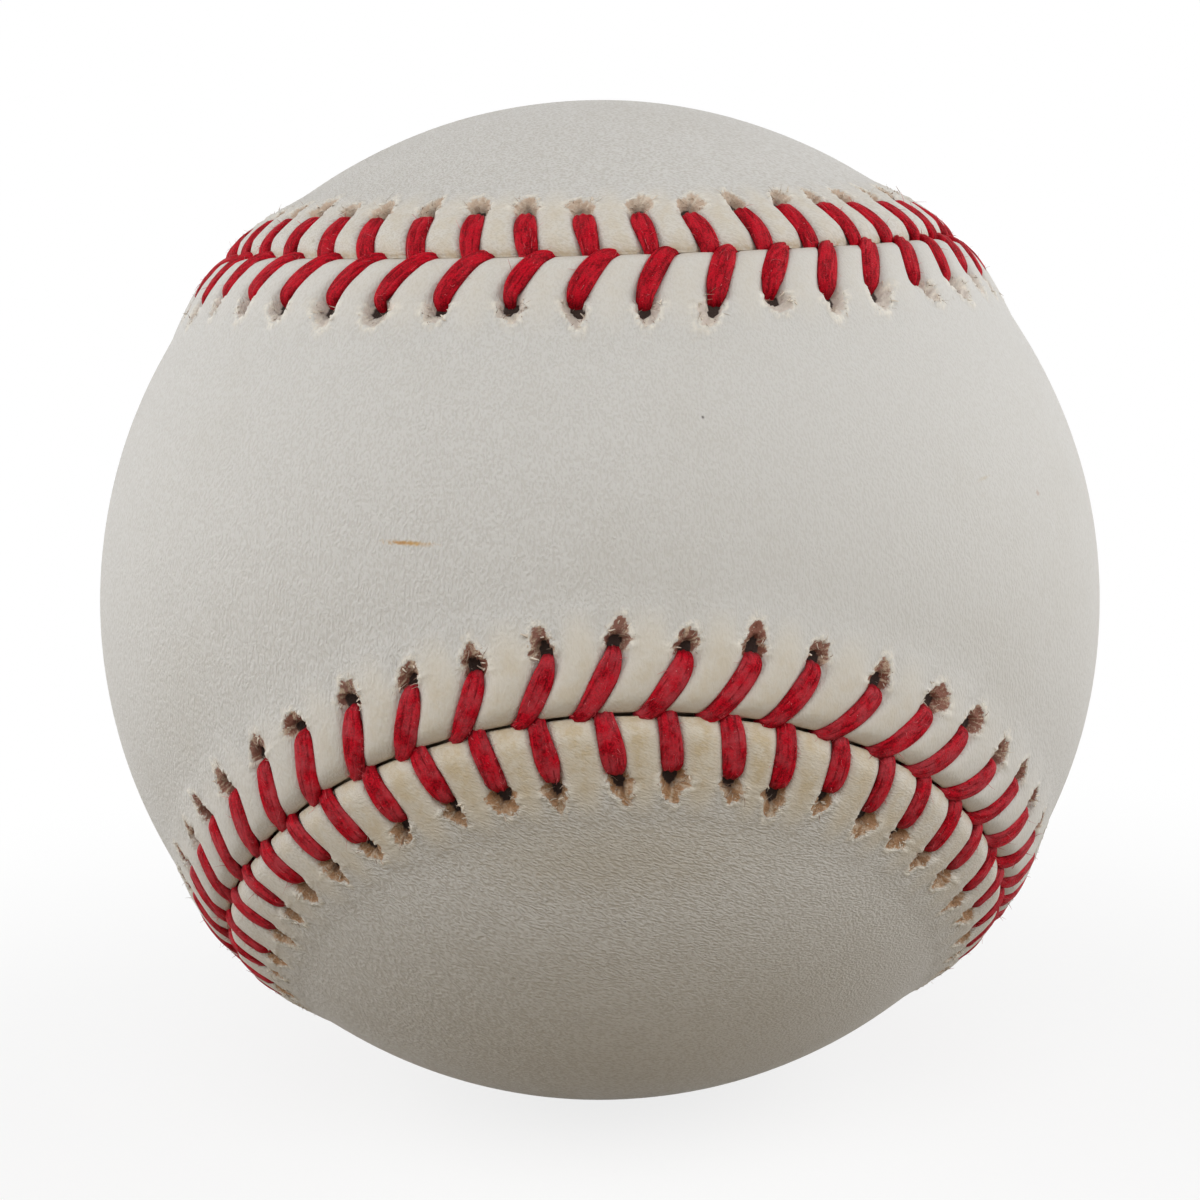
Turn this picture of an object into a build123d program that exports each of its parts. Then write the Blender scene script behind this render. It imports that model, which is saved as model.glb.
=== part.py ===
"""A hand-sewn baseball built as separate pieces.

Millimetres, +Z up, origin at the centre of the ball. The waist of the front cover panel faces -Y.
"""

import math
import os
from dataclasses import dataclass

from build123d import *

# Cork centre and the rubber round it
CORK_DIAMETER = 20.6
BLACK_RUBBER_WALL = 3.95
GASKET_THICKNESS = 1.6
RED_RUBBER_WALL = 2.4

# Yarn windings, each given as its built-up wall
FIRST_WINDING_WALL = 14.6
SECOND_WINDING_WALL = 1.75
THIRD_WINDING_WALL = 2.25
FINISHING_WINDING_WALL = 0.5
ADHESIVE_WALL = 0.08

# Cover leather
LEATHER_WALL = 1.1
LIP_LEATHER_WALL = 0.62
SEAM_GAP = 0.24
LIP_EDGE_DROP = 0.3
LIP_EDGE_ROUND = 0.95
LIP_CREST_MARGIN = 0.35
LIP_SLOPE_WIDTH = 3.2
LIP_EDGE_BEVEL = 0.12
LIP_ROOT_SLANT = 0.5

# Seam line, measured along the leather
WAIST_WIDTH = 29.5
LOBE_END_RADIUS = 28.1
LOBE_END_HALF_ANGLE = 55.1

# Seam thread and its stitches
THREAD_DIAMETER = 0.85
THREAD_FACETS = 6
STITCH_PAIRS = 108
STITCH_PHASE = 0.7
STITCH_DRIFT = 0.2
HOLE_SETBACK = 4.0
FRONT_LEG_LEAN = 2.0
REAR_LEG_LEAN = 0.6
LEG_SINK = 0.38
AWL_TEAR = 0.8
HOLE_EASE = 0.12
TAIL_LENGTH = 1.2

# Clearances
LAYER_CLEARANCE = 0.02
JOINT_CLEARANCE = 0.05
THREAD_CLEARANCE = 0.05
TUNNEL_CLEARANCE = 0.08
THREAD_SPACING = 0.12

# How the ball lies
LIE_TILT = -20.0

# Turns that keep the joint line of a round shell off the seam
SHELL_TURN_X = 35.0
SHELL_TURN_Z = 20.0

# Radii that follow from the walls, from the inside out
CORK_RADIUS = CORK_DIAMETER / 2
BLACK_INNER = CORK_RADIUS + LAYER_CLEARANCE
BLACK_OUTER = BLACK_INNER + BLACK_RUBBER_WALL
RED_INNER = BLACK_OUTER + LAYER_CLEARANCE
RED_OUTER = RED_INNER + RED_RUBBER_WALL
FIRST_INNER = RED_OUTER + LAYER_CLEARANCE
FIRST_OUTER = FIRST_INNER + FIRST_WINDING_WALL
SECOND_INNER = FIRST_OUTER + LAYER_CLEARANCE
SECOND_OUTER = SECOND_INNER + SECOND_WINDING_WALL
THIRD_INNER = SECOND_OUTER + LAYER_CLEARANCE
THIRD_OUTER = THIRD_INNER + THIRD_WINDING_WALL
FINISHING_INNER = THIRD_OUTER + LAYER_CLEARANCE
FINISHING_OUTER = FINISHING_INNER + FINISHING_WINDING_WALL
ADHESIVE_INNER = FINISHING_OUTER + LAYER_CLEARANCE
ADHESIVE_OUTER = ADHESIVE_INNER + ADHESIVE_WALL
LEATHER_INNER = ADHESIVE_OUTER + LAYER_CLEARANCE
BALL_RADIUS = LEATHER_INNER + LEATHER_WALL

# Thread levels and lip sizes that follow from the thread
THREAD_RADIUS = THREAD_DIAMETER / 2
LIP_UNDERSIDE = LEATHER_INNER + THREAD_DIAMETER + 2 * TUNNEL_CLEARANCE
LIP_TOP = LIP_UNDERSIDE + LIP_LEATHER_WALL
UNDER_RADIUS = LEATHER_INNER + TUNNEL_CLEARANCE + THREAD_RADIUS
LEG_RADIUS = LIP_TOP - LEG_SINK + THREAD_RADIUS
BEND_RADIUS = (LEG_RADIUS - UNDER_RADIUS) / 2
HOLE_WIDTH = THREAD_DIAMETER + 2 * (THREAD_CLEARANCE + HOLE_EASE)
DIVE_SHIFT = (THREAD_DIAMETER + THREAD_SPACING) / 2
BEND_REACH = (LEG_RADIUS + UNDER_RADIUS) / 2
BEND_ANGLE = math.asin(BEND_RADIUS / BEND_REACH)
BEND_HEIGHT = math.sqrt(BEND_REACH**2 - BEND_RADIUS**2)
TUNNEL_END = HOLE_SETBACK + AWL_TEAR + HOLE_WIDTH / 2
LIP_CREST_END = HOLE_SETBACK + LIP_CREST_MARGIN
LIP_END = max(LIP_CREST_END + LIP_SLOPE_WIDTH, TUNNEL_END + LEATHER_WALL)

CENTRE = Vector(0, 0, 0)


@dataclass(frozen=True)
class SeamArc:
    """One circular arc of the seam line, on a sphere of radius one.

    Attributes:
        start: Unit vector to the first point.
        axis: Unit vector through the centre of the ball, turned about by the right-hand rule.
        angle: Turn from the first point to the last, in radians.
    """

    start: Vector
    axis: Vector
    angle: float

    def turned(self, point: Vector, angle: float) -> Vector:
        """Return a vector turned about the arc's axis by an angle in radians."""
        return point.rotate(Axis(CENTRE, self.axis), math.degrees(angle))

    @property
    def end(self) -> Vector:
        """Return the unit vector to the last point."""
        return self.turned(self.start, self.angle)

    @property
    def spread(self) -> float:
        """Return the radius of the arc on the unit sphere."""
        return self.axis.cross(self.start).length

    @property
    def length(self) -> float:
        """Return the length of the arc on the unit sphere."""
        return self.angle * self.spread

    def heading(self, point: Vector) -> Vector:
        """Return the direction of travel at a point of the arc."""
        return self.axis.cross(point).normalized()

    def backwards(self) -> "SeamArc":
        """Return the same arc travelled from its end."""
        return SeamArc(self.end, -self.axis, self.angle)

    def half_turned(self, about: Vector) -> "SeamArc":
        """Return the arc after half a turn about a unit vector."""
        start = about * (2 * about.dot(self.start)) - self.start
        axis = about * (2 * about.dot(self.axis)) - self.axis
        return SeamArc(start, axis, self.angle)

    def mirrored(self) -> "SeamArc":
        """Return the arc mirrored top to bottom."""
        start = Vector(self.start.X, self.start.Y, -self.start.Z)
        axis = Vector(-self.axis.X, -self.axis.Y, self.axis.Z)
        return SeamArc(start, axis, self.angle)


def seam_arcs() -> list[SeamArc]:
    """Return the closed seam line as tangent arcs in order of travel."""
    waist = WAIST_WIDTH / 2 / BALL_RADIUS
    lobe = LOBE_END_RADIUS / BALL_RADIUS
    top = Vector(0, -math.cos(waist), math.sin(waist))
    lobe_axis = Vector(0, math.cos(waist + lobe), -math.sin(waist + lobe))
    if lobe_axis.cross(top).X < 0:
        lobe_axis = -lobe_axis
    lobe_end = SeamArc(top, lobe_axis, math.radians(LOBE_END_HALF_ANGLE))
    join = lobe_end.end
    heading = lobe_end.heading(join)
    crossing = Vector(1, 0, 1).normalized()
    side_axis = heading.cross(join - crossing).normalized()
    if side_axis.cross(join).dot(heading) < 0:
        side_axis = -side_axis
    from_axis = join - side_axis * side_axis.dot(join)
    to_axis = crossing - side_axis * side_axis.dot(crossing)
    turn = math.atan2(from_axis.cross(to_axis).dot(side_axis), from_axis.dot(to_axis))
    side = SeamArc(join, side_axis, turn % (2 * math.pi))
    quarter = [lobe_end, side]
    quarter += [arc.half_turned(crossing).backwards() for arc in reversed(quarter)]
    half = quarter + [arc.mirrored().backwards() for arc in reversed(quarter)]
    return half + [arc.half_turned(Vector(0, 1, 0)) for arc in half]


ARCS = seam_arcs()
SEAM_LENGTH = sum(arc.length for arc in ARCS) * BALL_RADIUS
PITCH = SEAM_LENGTH / STITCH_PAIRS


def seam_at(distance: float) -> tuple[Vector, Vector]:
    """Return the unit vector and the direction of travel at a distance along the seam line."""
    left = (distance % SEAM_LENGTH) / BALL_RADIUS
    for arc in ARCS:
        if left <= arc.length:
            point = arc.turned(arc.start, left / arc.spread)
            return point, arc.heading(point)
        left -= arc.length
    return ARCS[0].start, ARCS[0].heading(ARCS[0].start)


def aside(point: Vector, heading: Vector, offset: float) -> Vector:
    """Return the unit vector at an offset to the left of the seam line."""
    angle = offset / BALL_RADIUS
    return point * math.cos(angle) + point.cross(heading) * math.sin(angle)


def station(index: int) -> float:
    """Return the distance along the seam of one pair of stitches, with the drift of hand sewing."""
    drift = STITCH_DRIFT * math.cos(2 * math.pi * index / STITCH_PAIRS)
    return (index + STITCH_PHASE + drift) * PITCH


class Side:
    """One side of the seam: its panel, and how its stitch legs lie.

    Args:
        name: Node name of the cover panel on this side.
        hand: 1 to the left of the direction of travel, -1 to the right.
        lean: How far each hole trails the point where its leg dives into the seam.
        shift: How far the dive leads the station.
    """

    def __init__(self, name: str, hand: int, lean: float, shift: float) -> None:
        self.name = name
        self.hand = hand
        self.lean = lean
        self.shift = shift

    def dive(self, index: int) -> Vector:
        """Return the unit vector where the leg of a station dives into the seam."""
        return seam_at(station(index) + self.shift)[0]

    def hole(self, index: int, setback: float = HOLE_SETBACK) -> Vector:
        """Return the unit vector to the hole of a station."""
        point, heading = seam_at(station(index) + self.shift - self.lean)
        return aside(point, heading, self.hand * setback)


FRONT = Side("front_cover_panel", -1, FRONT_LEG_LEAN, DIVE_SHIFT)
REAR = Side("rear_cover_panel", 1, REAR_LEG_LEAN, -DIVE_SHIFT)


class Tube:
    """A waxed thread with a faceted section, laid along tangent arcs.

    Args:
        start: Unit vector to the upright where the thread begins.
        diameter: Distance across the corners of the section.
    """

    def __init__(self, start: Vector, diameter: float) -> None:
        section = RegularPolygon(diameter / 2, THREAD_FACETS)
        self.ring = (Plane(origin=start * BEND_HEIGHT, z_dir=start) * section).edges()
        self.faces: list[Face] = []
        self.length = 0.0

    def turn(self, pivot: Vector, axis: Vector, radius: float, angle: float) -> None:
        """Lay the next arc about a pivot, by an angle in radians."""
        about = Axis(pivot, axis)
        sweep = math.degrees(angle)
        self.faces += [Face.revolve(edge, sweep, about) for edge in self.ring]
        self.ring = [edge.rotate(about, sweep) for edge in self.ring]
        self.length += radius * angle

    def cap(self) -> Face:
        """Return the flat face that closes the thread where it now ends."""
        return Face(Wire(self.ring))


def closed_solid(faces: list[Face]) -> Solid:
    """Return the solid inside a closed set of faces."""
    solid = Solid(Shell(faces))
    if solid.volume < 0:
        solid = -solid
    return solid


def bend_pivot(upright: Vector, towards: Vector) -> Vector:
    """Return the pivot of the bends between an upright and the runs towards another point."""
    sideways = (towards - upright * upright.dot(towards)).normalized()
    return upright * BEND_HEIGHT + sideways * BEND_RADIUS


def run_angle(first: Vector, last: Vector) -> float:
    """Return the angle of the run between two bends, seen from the centre of the ball."""
    return math.acos(first.dot(last)) - 2 * BEND_ANGLE


def lay_upper_bend(tube: Tube, upright: Vector, first: Vector, last: Vector) -> None:
    """Lay a bend between an upright and a leg that goes from the first point to the last."""
    other = last if upright is first else first
    axis = first.cross(last).normalized()
    tube.turn(bend_pivot(upright, other), axis, BEND_RADIUS, math.pi / 2 + BEND_ANGLE)


def lay_lower_bend(tube: Tube, upright: Vector, first: Vector, last: Vector) -> None:
    """Lay a bend between an upright and a hidden run that goes from the first point to the last."""
    other = last if upright is first else first
    axis = first.cross(last).normalized()
    tube.turn(bend_pivot(upright, other), -axis, BEND_RADIUS, math.pi / 2 - BEND_ANGLE)


def lay_leg(tube: Tube, hole: Vector, dive: Vector) -> None:
    """Lay a stitch leg from half-way up its hole, over the leather, to half-way down the seam."""
    lay_upper_bend(tube, hole, hole, dive)
    tube.turn(CENTRE, hole.cross(dive).normalized(), LEG_RADIUS, run_angle(hole, dive))
    lay_upper_bend(tube, dive, hole, dive)


def lay_under(tube: Tube, dive: Vector, hole: Vector) -> None:
    """Lay the run under the leather from half-way down the seam to half-way up the next hole."""
    lay_lower_bend(tube, dive, dive, hole)
    tube.turn(CENTRE, dive.cross(hole).normalized(), UNDER_RADIUS, run_angle(dive, hole))
    lay_lower_bend(tube, hole, dive, hole)


def lay_tail(tube: Tube, dive: Vector, hole: Vector) -> None:
    """Lay the last end of the thread, tucked under the leather."""
    lay_lower_bend(tube, dive, dive, hole)
    tube.turn(CENTRE, dive.cross(hole).normalized(), UNDER_RADIUS, TAIL_LENGTH / UNDER_RADIUS)


def lay_needle_run(tube: Tube, first: Side, second: Side) -> None:
    """Lay one needle's run round the whole seam, from its first hole to its tucked end."""
    sides = (first, second)
    for index in range(STITCH_PAIRS):
        over = sides[index % 2]
        under = sides[(index + 1) % 2]
        lay_leg(tube, over.hole(index), over.dive(index))
        if index < STITCH_PAIRS - 1:
            lay_under(tube, over.dive(index), under.hole(index + 1))
        else:
            lay_tail(tube, over.dive(index), under.hole(index + 1))


def seam_thread() -> Solid:
    """Return the whole thread: two needle runs joined by the bridge under the first two holes."""
    front_run = Tube(FRONT.hole(0), THREAD_DIAMETER)
    rear_run = Tube(FRONT.hole(0), THREAD_DIAMETER)
    lay_under(rear_run, FRONT.hole(0), REAR.hole(0))
    lay_needle_run(rear_run, REAR, FRONT)
    lay_needle_run(front_run, FRONT, REAR)
    print(f"thread length {front_run.length + rear_run.length:.0f} mm")
    return closed_solid(front_run.faces + rear_run.faces + [front_run.cap(), rear_run.cap()])


def slot_cutter(first: Vector, last: Vector, width: float) -> Solid:
    """Return a round-ended slot cut straight through the leather between two points."""
    middle = (first + last).normalized()
    base = Plane(origin=middle * (LEATHER_INNER - LEATHER_WALL), x_dir=last - first, z_dir=middle)
    length = BALL_RADIUS * math.acos(first.dot(last))
    depth = LIP_TOP - LEATHER_INNER + 2 * LEATHER_WALL
    return extrude(base * SlotCenterToCenter(length, width), depth).solid()


def awl_hole(side: Side, index: int) -> Solid:
    """Return the room for the hole that the awl tears, with the thread at its inner end."""
    return slot_cutter(side.hole(index), side.hole(index, HOLE_SETBACK + AWL_TEAR), HOLE_WIDTH)


def seam_notch(index: int) -> Solid:
    """Return the room where both legs of a station dive into the seam."""
    return slot_cutter(REAR.dive(index), FRONT.dive(index), HOLE_WIDTH)


def leg_groove(side: Side, index: int) -> Solid:
    """Return the room that a stitch leg presses into the lip."""
    first = side.hole(index) * LEG_RADIUS
    last = side.dive(index) * LEG_RADIUS
    base = Plane(origin=first, z_dir=last - first)
    return Solid.make_cylinder(THREAD_RADIUS + THREAD_CLEARANCE, (last - first).length, base)


def lip_profile(arc: SeamArc, hand: int) -> Face:
    """Return the cross-section of a raised lip at the start of an arc."""
    heading = arc.heading(arc.start)

    def at(offset: float, radius: float) -> Vector:
        return aside(arc.start, heading, hand * offset) * radius

    def level(first: float, last: float, radius: float) -> Edge:
        middle = at((first + last) / 2, radius)
        return Edge.make_three_point_arc(at(first, radius), middle, at(last, radius))

    edge = SEAM_GAP / 2
    edge_foot = edge + LIP_EDGE_BEVEL
    edge_top = LIP_TOP - LIP_EDGE_DROP
    root = LIP_END + LIP_ROOT_SLANT
    eased = 1 - math.sqrt(0.5)
    eased_point = at(edge + eased * (LIP_EDGE_ROUND - edge), LIP_TOP - eased * LIP_EDGE_DROP)
    crest_way = at(LIP_CREST_END + LIP_EDGE_ROUND, LIP_TOP) - at(LIP_CREST_END - LIP_EDGE_ROUND, LIP_TOP)
    field_way = at(LIP_END + LIP_EDGE_ROUND, BALL_RADIUS) - at(LIP_END - LIP_EDGE_ROUND, BALL_RADIUS)
    foot = TUNNEL_END + LEATHER_WALL / 2
    crest = at(LIP_CREST_END, LIP_TOP)
    field = at(LIP_END, BALL_RADIUS)
    bend = (crest + field) / 2
    edges = [
        Edge.make_line(at(edge_foot, LIP_UNDERSIDE), at(edge, edge_top)),
        Edge.make_three_point_arc(at(edge, edge_top), eased_point, at(LIP_EDGE_ROUND, LIP_TOP)),
        level(LIP_EDGE_ROUND, LIP_CREST_END, LIP_TOP),
        Edge.make_tangent_arc(crest, crest_way, bend),
        Edge.make_tangent_arc(field, -field_way, bend),
        Edge.make_line(field, at(root, LEATHER_INNER)),
        level(root, foot, LEATHER_INNER),
        Edge.make_line(at(foot, LEATHER_INNER), at(TUNNEL_END, LIP_UNDERSIDE)),
        level(TUNNEL_END, edge_foot, LIP_UNDERSIDE),
    ]
    return Face(Wire(edges))


def field_border(hand: int) -> Shell:
    """Return the wall that parts the smooth field of a panel from its raised lip."""
    walls = []
    for arc in ARCS:
        heading = arc.heading(arc.start)
        upper = aside(arc.start, heading, hand * LIP_END) * BALL_RADIUS
        lower = aside(arc.start, heading, hand * (LIP_END + LIP_ROOT_SLANT)) * LEATHER_INNER
        line = Edge.make_line(lower * 2 - upper, upper * 2 - lower)
        walls.append(Face.revolve(line, math.degrees(arc.angle), Axis(CENTRE, arc.axis)))
    return Shell(walls)


def hollow_ball(outer: float, inner: float) -> Solid:
    """Return a closed round shell between two radii."""
    return (Solid.make_sphere(outer, angle1=-90) - Solid.make_sphere(inner, angle1=-90)).solid()


def cover_panel(side: Side) -> Solid:
    """Return one figure-eight panel of leather with its raised lip and stitch holes."""
    blank = hollow_ball(BALL_RADIUS, LEATHER_INNER).rotate(Axis.X, SHELL_TURN_X)
    blank = blank.rotate(Axis.Z, SHELL_TURN_Z)
    pieces = blank.split(field_border(side.hand), keep=Keep.ALL)
    field = min(pieces, key=lambda piece: piece.volume)
    lips = [
        Solid.revolve(lip_profile(arc, side.hand), math.degrees(arc.angle), Axis(CENTRE, arc.axis))
        for arc in ARCS
    ]
    panel = field.fuse(*lips)
    indices = range(STITCH_PAIRS)
    panel = panel.cut(*[awl_hole(side, index) for index in indices])
    panel = panel.cut(*[seam_notch(index) for index in indices])
    return panel.cut(*[leg_groove(side, index) for index in indices]).solid()


def round_arc(radius: float, first: float, last: float, along: Vector, side: Vector) -> Edge:
    """Return an arc about the centre between two angles, measured from one direction to another."""
    points = [
        (side * math.cos(angle) + along * math.sin(angle)) * radius
        for angle in (first, (first + last) / 2, last)
    ]
    return Edge.make_three_point_arc(*points)


def shell_part(outer: float, inner: float, lower: float, upper: float, along: Vector) -> Solid:
    """Return the part of a round shell between two distances from the centre along one direction."""
    side = Vector(along.Y, along.Z, along.X)
    skin = round_arc(outer, math.asin(lower / outer), math.asin(min(1.0, upper / outer)), along, side)
    bore = round_arc(inner, math.asin(lower / inner), math.asin(min(1.0, upper / inner)), along, side)
    rims = [Edge.make_line(skin @ 0, bore @ 0), Edge.make_line(skin @ 1, bore @ 1)]
    return Solid.revolve(Face(Wire([skin, bore] + rims)), 360, Axis(CENTRE, along))


def pill() -> dict[str, Solid]:
    """Return the cork centre, its black rubber halves and their gasket, and the red rubber halves."""
    up = Vector(0, 0, 1)
    right = Vector(1, 0, 0)
    rim = GASKET_THICKNESS / 2 + JOINT_CLEARANCE
    half = GASKET_THICKNESS / 2
    split = JOINT_CLEARANCE / 2
    return {
        "cork_core": Solid.make_sphere(CORK_RADIUS, angle1=-90),
        "inner_rubber_upper": shell_part(BLACK_OUTER, BLACK_INNER, rim, BALL_RADIUS, up),
        "inner_rubber_lower": shell_part(BLACK_OUTER, BLACK_INNER, rim, BALL_RADIUS, -up),
        "inner_rubber_gasket": shell_part(BLACK_OUTER, BLACK_INNER, -half, half, up),
        "outer_rubber_right": shell_part(RED_OUTER, RED_INNER, split, BALL_RADIUS, right),
        "outer_rubber_left": shell_part(RED_OUTER, RED_INNER, split, BALL_RADIUS, -right),
    }


def windings() -> dict[str, Solid]:
    """Return the wound layers of yarn and the adhesive over them."""
    return {
        "first_winding": hollow_ball(FIRST_OUTER, FIRST_INNER),
        "second_winding": hollow_ball(SECOND_OUTER, SECOND_INNER),
        "third_winding": hollow_ball(THIRD_OUTER, THIRD_INNER),
        "finishing_winding": hollow_ball(FINISHING_OUTER, FINISHING_INNER),
        "adhesive_coat": hollow_ball(ADHESIVE_OUTER, ADHESIVE_INNER),
    }


def cover() -> dict[str, Solid]:
    """Return the two leather panels and the thread that sews them together."""
    return {
        FRONT.name: cover_panel(FRONT),
        REAR.name: cover_panel(REAR),
        "seam_thread": seam_thread(),
    }


def main() -> None:
    """Build every piece, lay the ball as it lies at rest, and write one file for each piece."""
    os.makedirs("parts", exist_ok=True)
    pieces = pill() | windings() | cover()
    for name, solid in pieces.items():
        placed = solid.rotate(Axis.X, LIE_TILT)
        placed.label = name
        export_step(placed, f"parts/{name}.step", write_pcurves=False)
        print(f"{name}: {placed.volume:.1f} mm3")


if __name__ == "__main__":
    main()
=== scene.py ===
"""Looks of a hand-sewn baseball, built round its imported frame.

Sizes in the classes are millimetres and every mesh is written in metres. +Z is up, the origin is the
centre of the ball, and the waist of the front cover panel faces -Y.
"""

import logging
import math
from dataclasses import dataclass, field
from enum import Enum
from typing import Optional, Union

import bmesh
import bpy
import numpy as np
from mathutils import Matrix, Vector, geometry, noise


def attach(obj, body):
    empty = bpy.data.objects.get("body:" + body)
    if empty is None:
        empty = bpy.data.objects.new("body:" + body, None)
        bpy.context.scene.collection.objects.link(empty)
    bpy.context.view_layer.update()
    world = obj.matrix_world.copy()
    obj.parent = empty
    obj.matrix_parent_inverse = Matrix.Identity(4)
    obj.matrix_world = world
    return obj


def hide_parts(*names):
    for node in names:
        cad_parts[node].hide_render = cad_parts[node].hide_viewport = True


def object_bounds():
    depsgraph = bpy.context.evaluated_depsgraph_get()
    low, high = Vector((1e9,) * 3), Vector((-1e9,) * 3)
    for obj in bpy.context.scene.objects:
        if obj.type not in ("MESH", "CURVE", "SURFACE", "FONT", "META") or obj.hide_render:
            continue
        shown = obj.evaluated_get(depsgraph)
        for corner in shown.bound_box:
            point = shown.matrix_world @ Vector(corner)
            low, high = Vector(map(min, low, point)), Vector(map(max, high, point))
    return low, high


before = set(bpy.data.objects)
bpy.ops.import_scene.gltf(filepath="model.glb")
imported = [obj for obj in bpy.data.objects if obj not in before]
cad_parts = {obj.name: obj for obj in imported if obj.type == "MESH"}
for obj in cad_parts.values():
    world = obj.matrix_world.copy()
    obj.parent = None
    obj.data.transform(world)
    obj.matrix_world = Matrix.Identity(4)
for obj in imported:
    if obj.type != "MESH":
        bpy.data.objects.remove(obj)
CAD_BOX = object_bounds()

log = logging.getLogger("baseball")

MM = 0.001
BODY = "root"

Array = np.ndarray
Tree = bpy.types.NodeTree
Node = bpy.types.Node
Socket = bpy.types.NodeSocket
Sockets = bpy.types.bpy_prop_collection
Material = bpy.types.Material
Piece = bpy.types.Object
Span = tuple[float, float]
Colour = tuple[float, float, float]
Ramp = tuple[float, float, float, float]
Key = Union[int, str]
Feed = Union[Socket, float, tuple]


def unit(vector: Array) -> Array:
    """Return vectors of length one along the last axis."""
    return vector / np.linalg.norm(vector, axis=-1, keepdims=True)


def smooth(low: float, high: float, value: Array) -> Array:
    """Return an eased ramp from 0 at low to 1 at high."""
    share = np.clip((value - low) / (high - low), 0.0, 1.0)
    return share * share * (3 - 2 * share)


@dataclass(frozen=True)
class Ripples:
    """A pattern of smooth random values.

    Attributes:
        size: Typical width of one ripple in millimetres.
        seed: Shift that gives another pattern.
        slant: How far that shift goes along each axis.
    """

    size: float
    seed: float
    slant: tuple[float, float, float] = (1.0, 0.37, -0.61)

    def at(self, points: Array, more: float = 0.0) -> Array:
        """Return the pattern's values.

        Args:
            points: Places in millimetres, one row each.
            more: What to add to the seed.

        Returns:
            One value for each point, between about -1 and 1.
        """
        shift = Vector([part * (self.seed + more) for part in self.slant])
        return np.array([noise.noise(Vector(point) + shift) for point in (points / self.size).tolist()])


@dataclass(frozen=True)
class SeamArc:
    """One circular arc of the seam on a ball of radius one.

    Attributes:
        start: First point.
        axis: Direction turned about by the right-hand rule.
        angle: Turn to the last point, in radians.
    """

    start: Array
    axis: Array
    angle: float

    def point(self, angle: float) -> Array:
        """Return the point after a turn from the start."""
        along = self.axis * (self.axis @ self.start)
        across = np.cross(self.axis, self.start)
        return along + (self.start - along) * math.cos(angle) + across * math.sin(angle)

    @property
    def spread(self) -> float:
        """Return the radius of the arc."""
        return float(np.linalg.norm(np.cross(self.axis, self.start)))

    def backwards(self) -> "SeamArc":
        """Return the same arc travelled from its end."""
        return SeamArc(self.point(self.angle), -self.axis, self.angle)

    def half_turned(self, about: Array) -> "SeamArc":
        """Return the arc after half a turn about a direction."""
        start = about * (2 * (about @ self.start)) - self.start
        axis = about * (2 * (about @ self.axis)) - self.axis
        return SeamArc(start, axis, self.angle)

    def mirrored(self) -> "SeamArc":
        """Return the arc mirrored top to bottom."""
        return SeamArc(self.start * (1, 1, -1), self.axis * (-1, -1, 1), self.angle)

    def tilted(self, turn: Array) -> "SeamArc":
        """Return the arc after the ball is turned."""
        return SeamArc(turn @ self.start, turn @ self.axis, self.angle)


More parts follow.
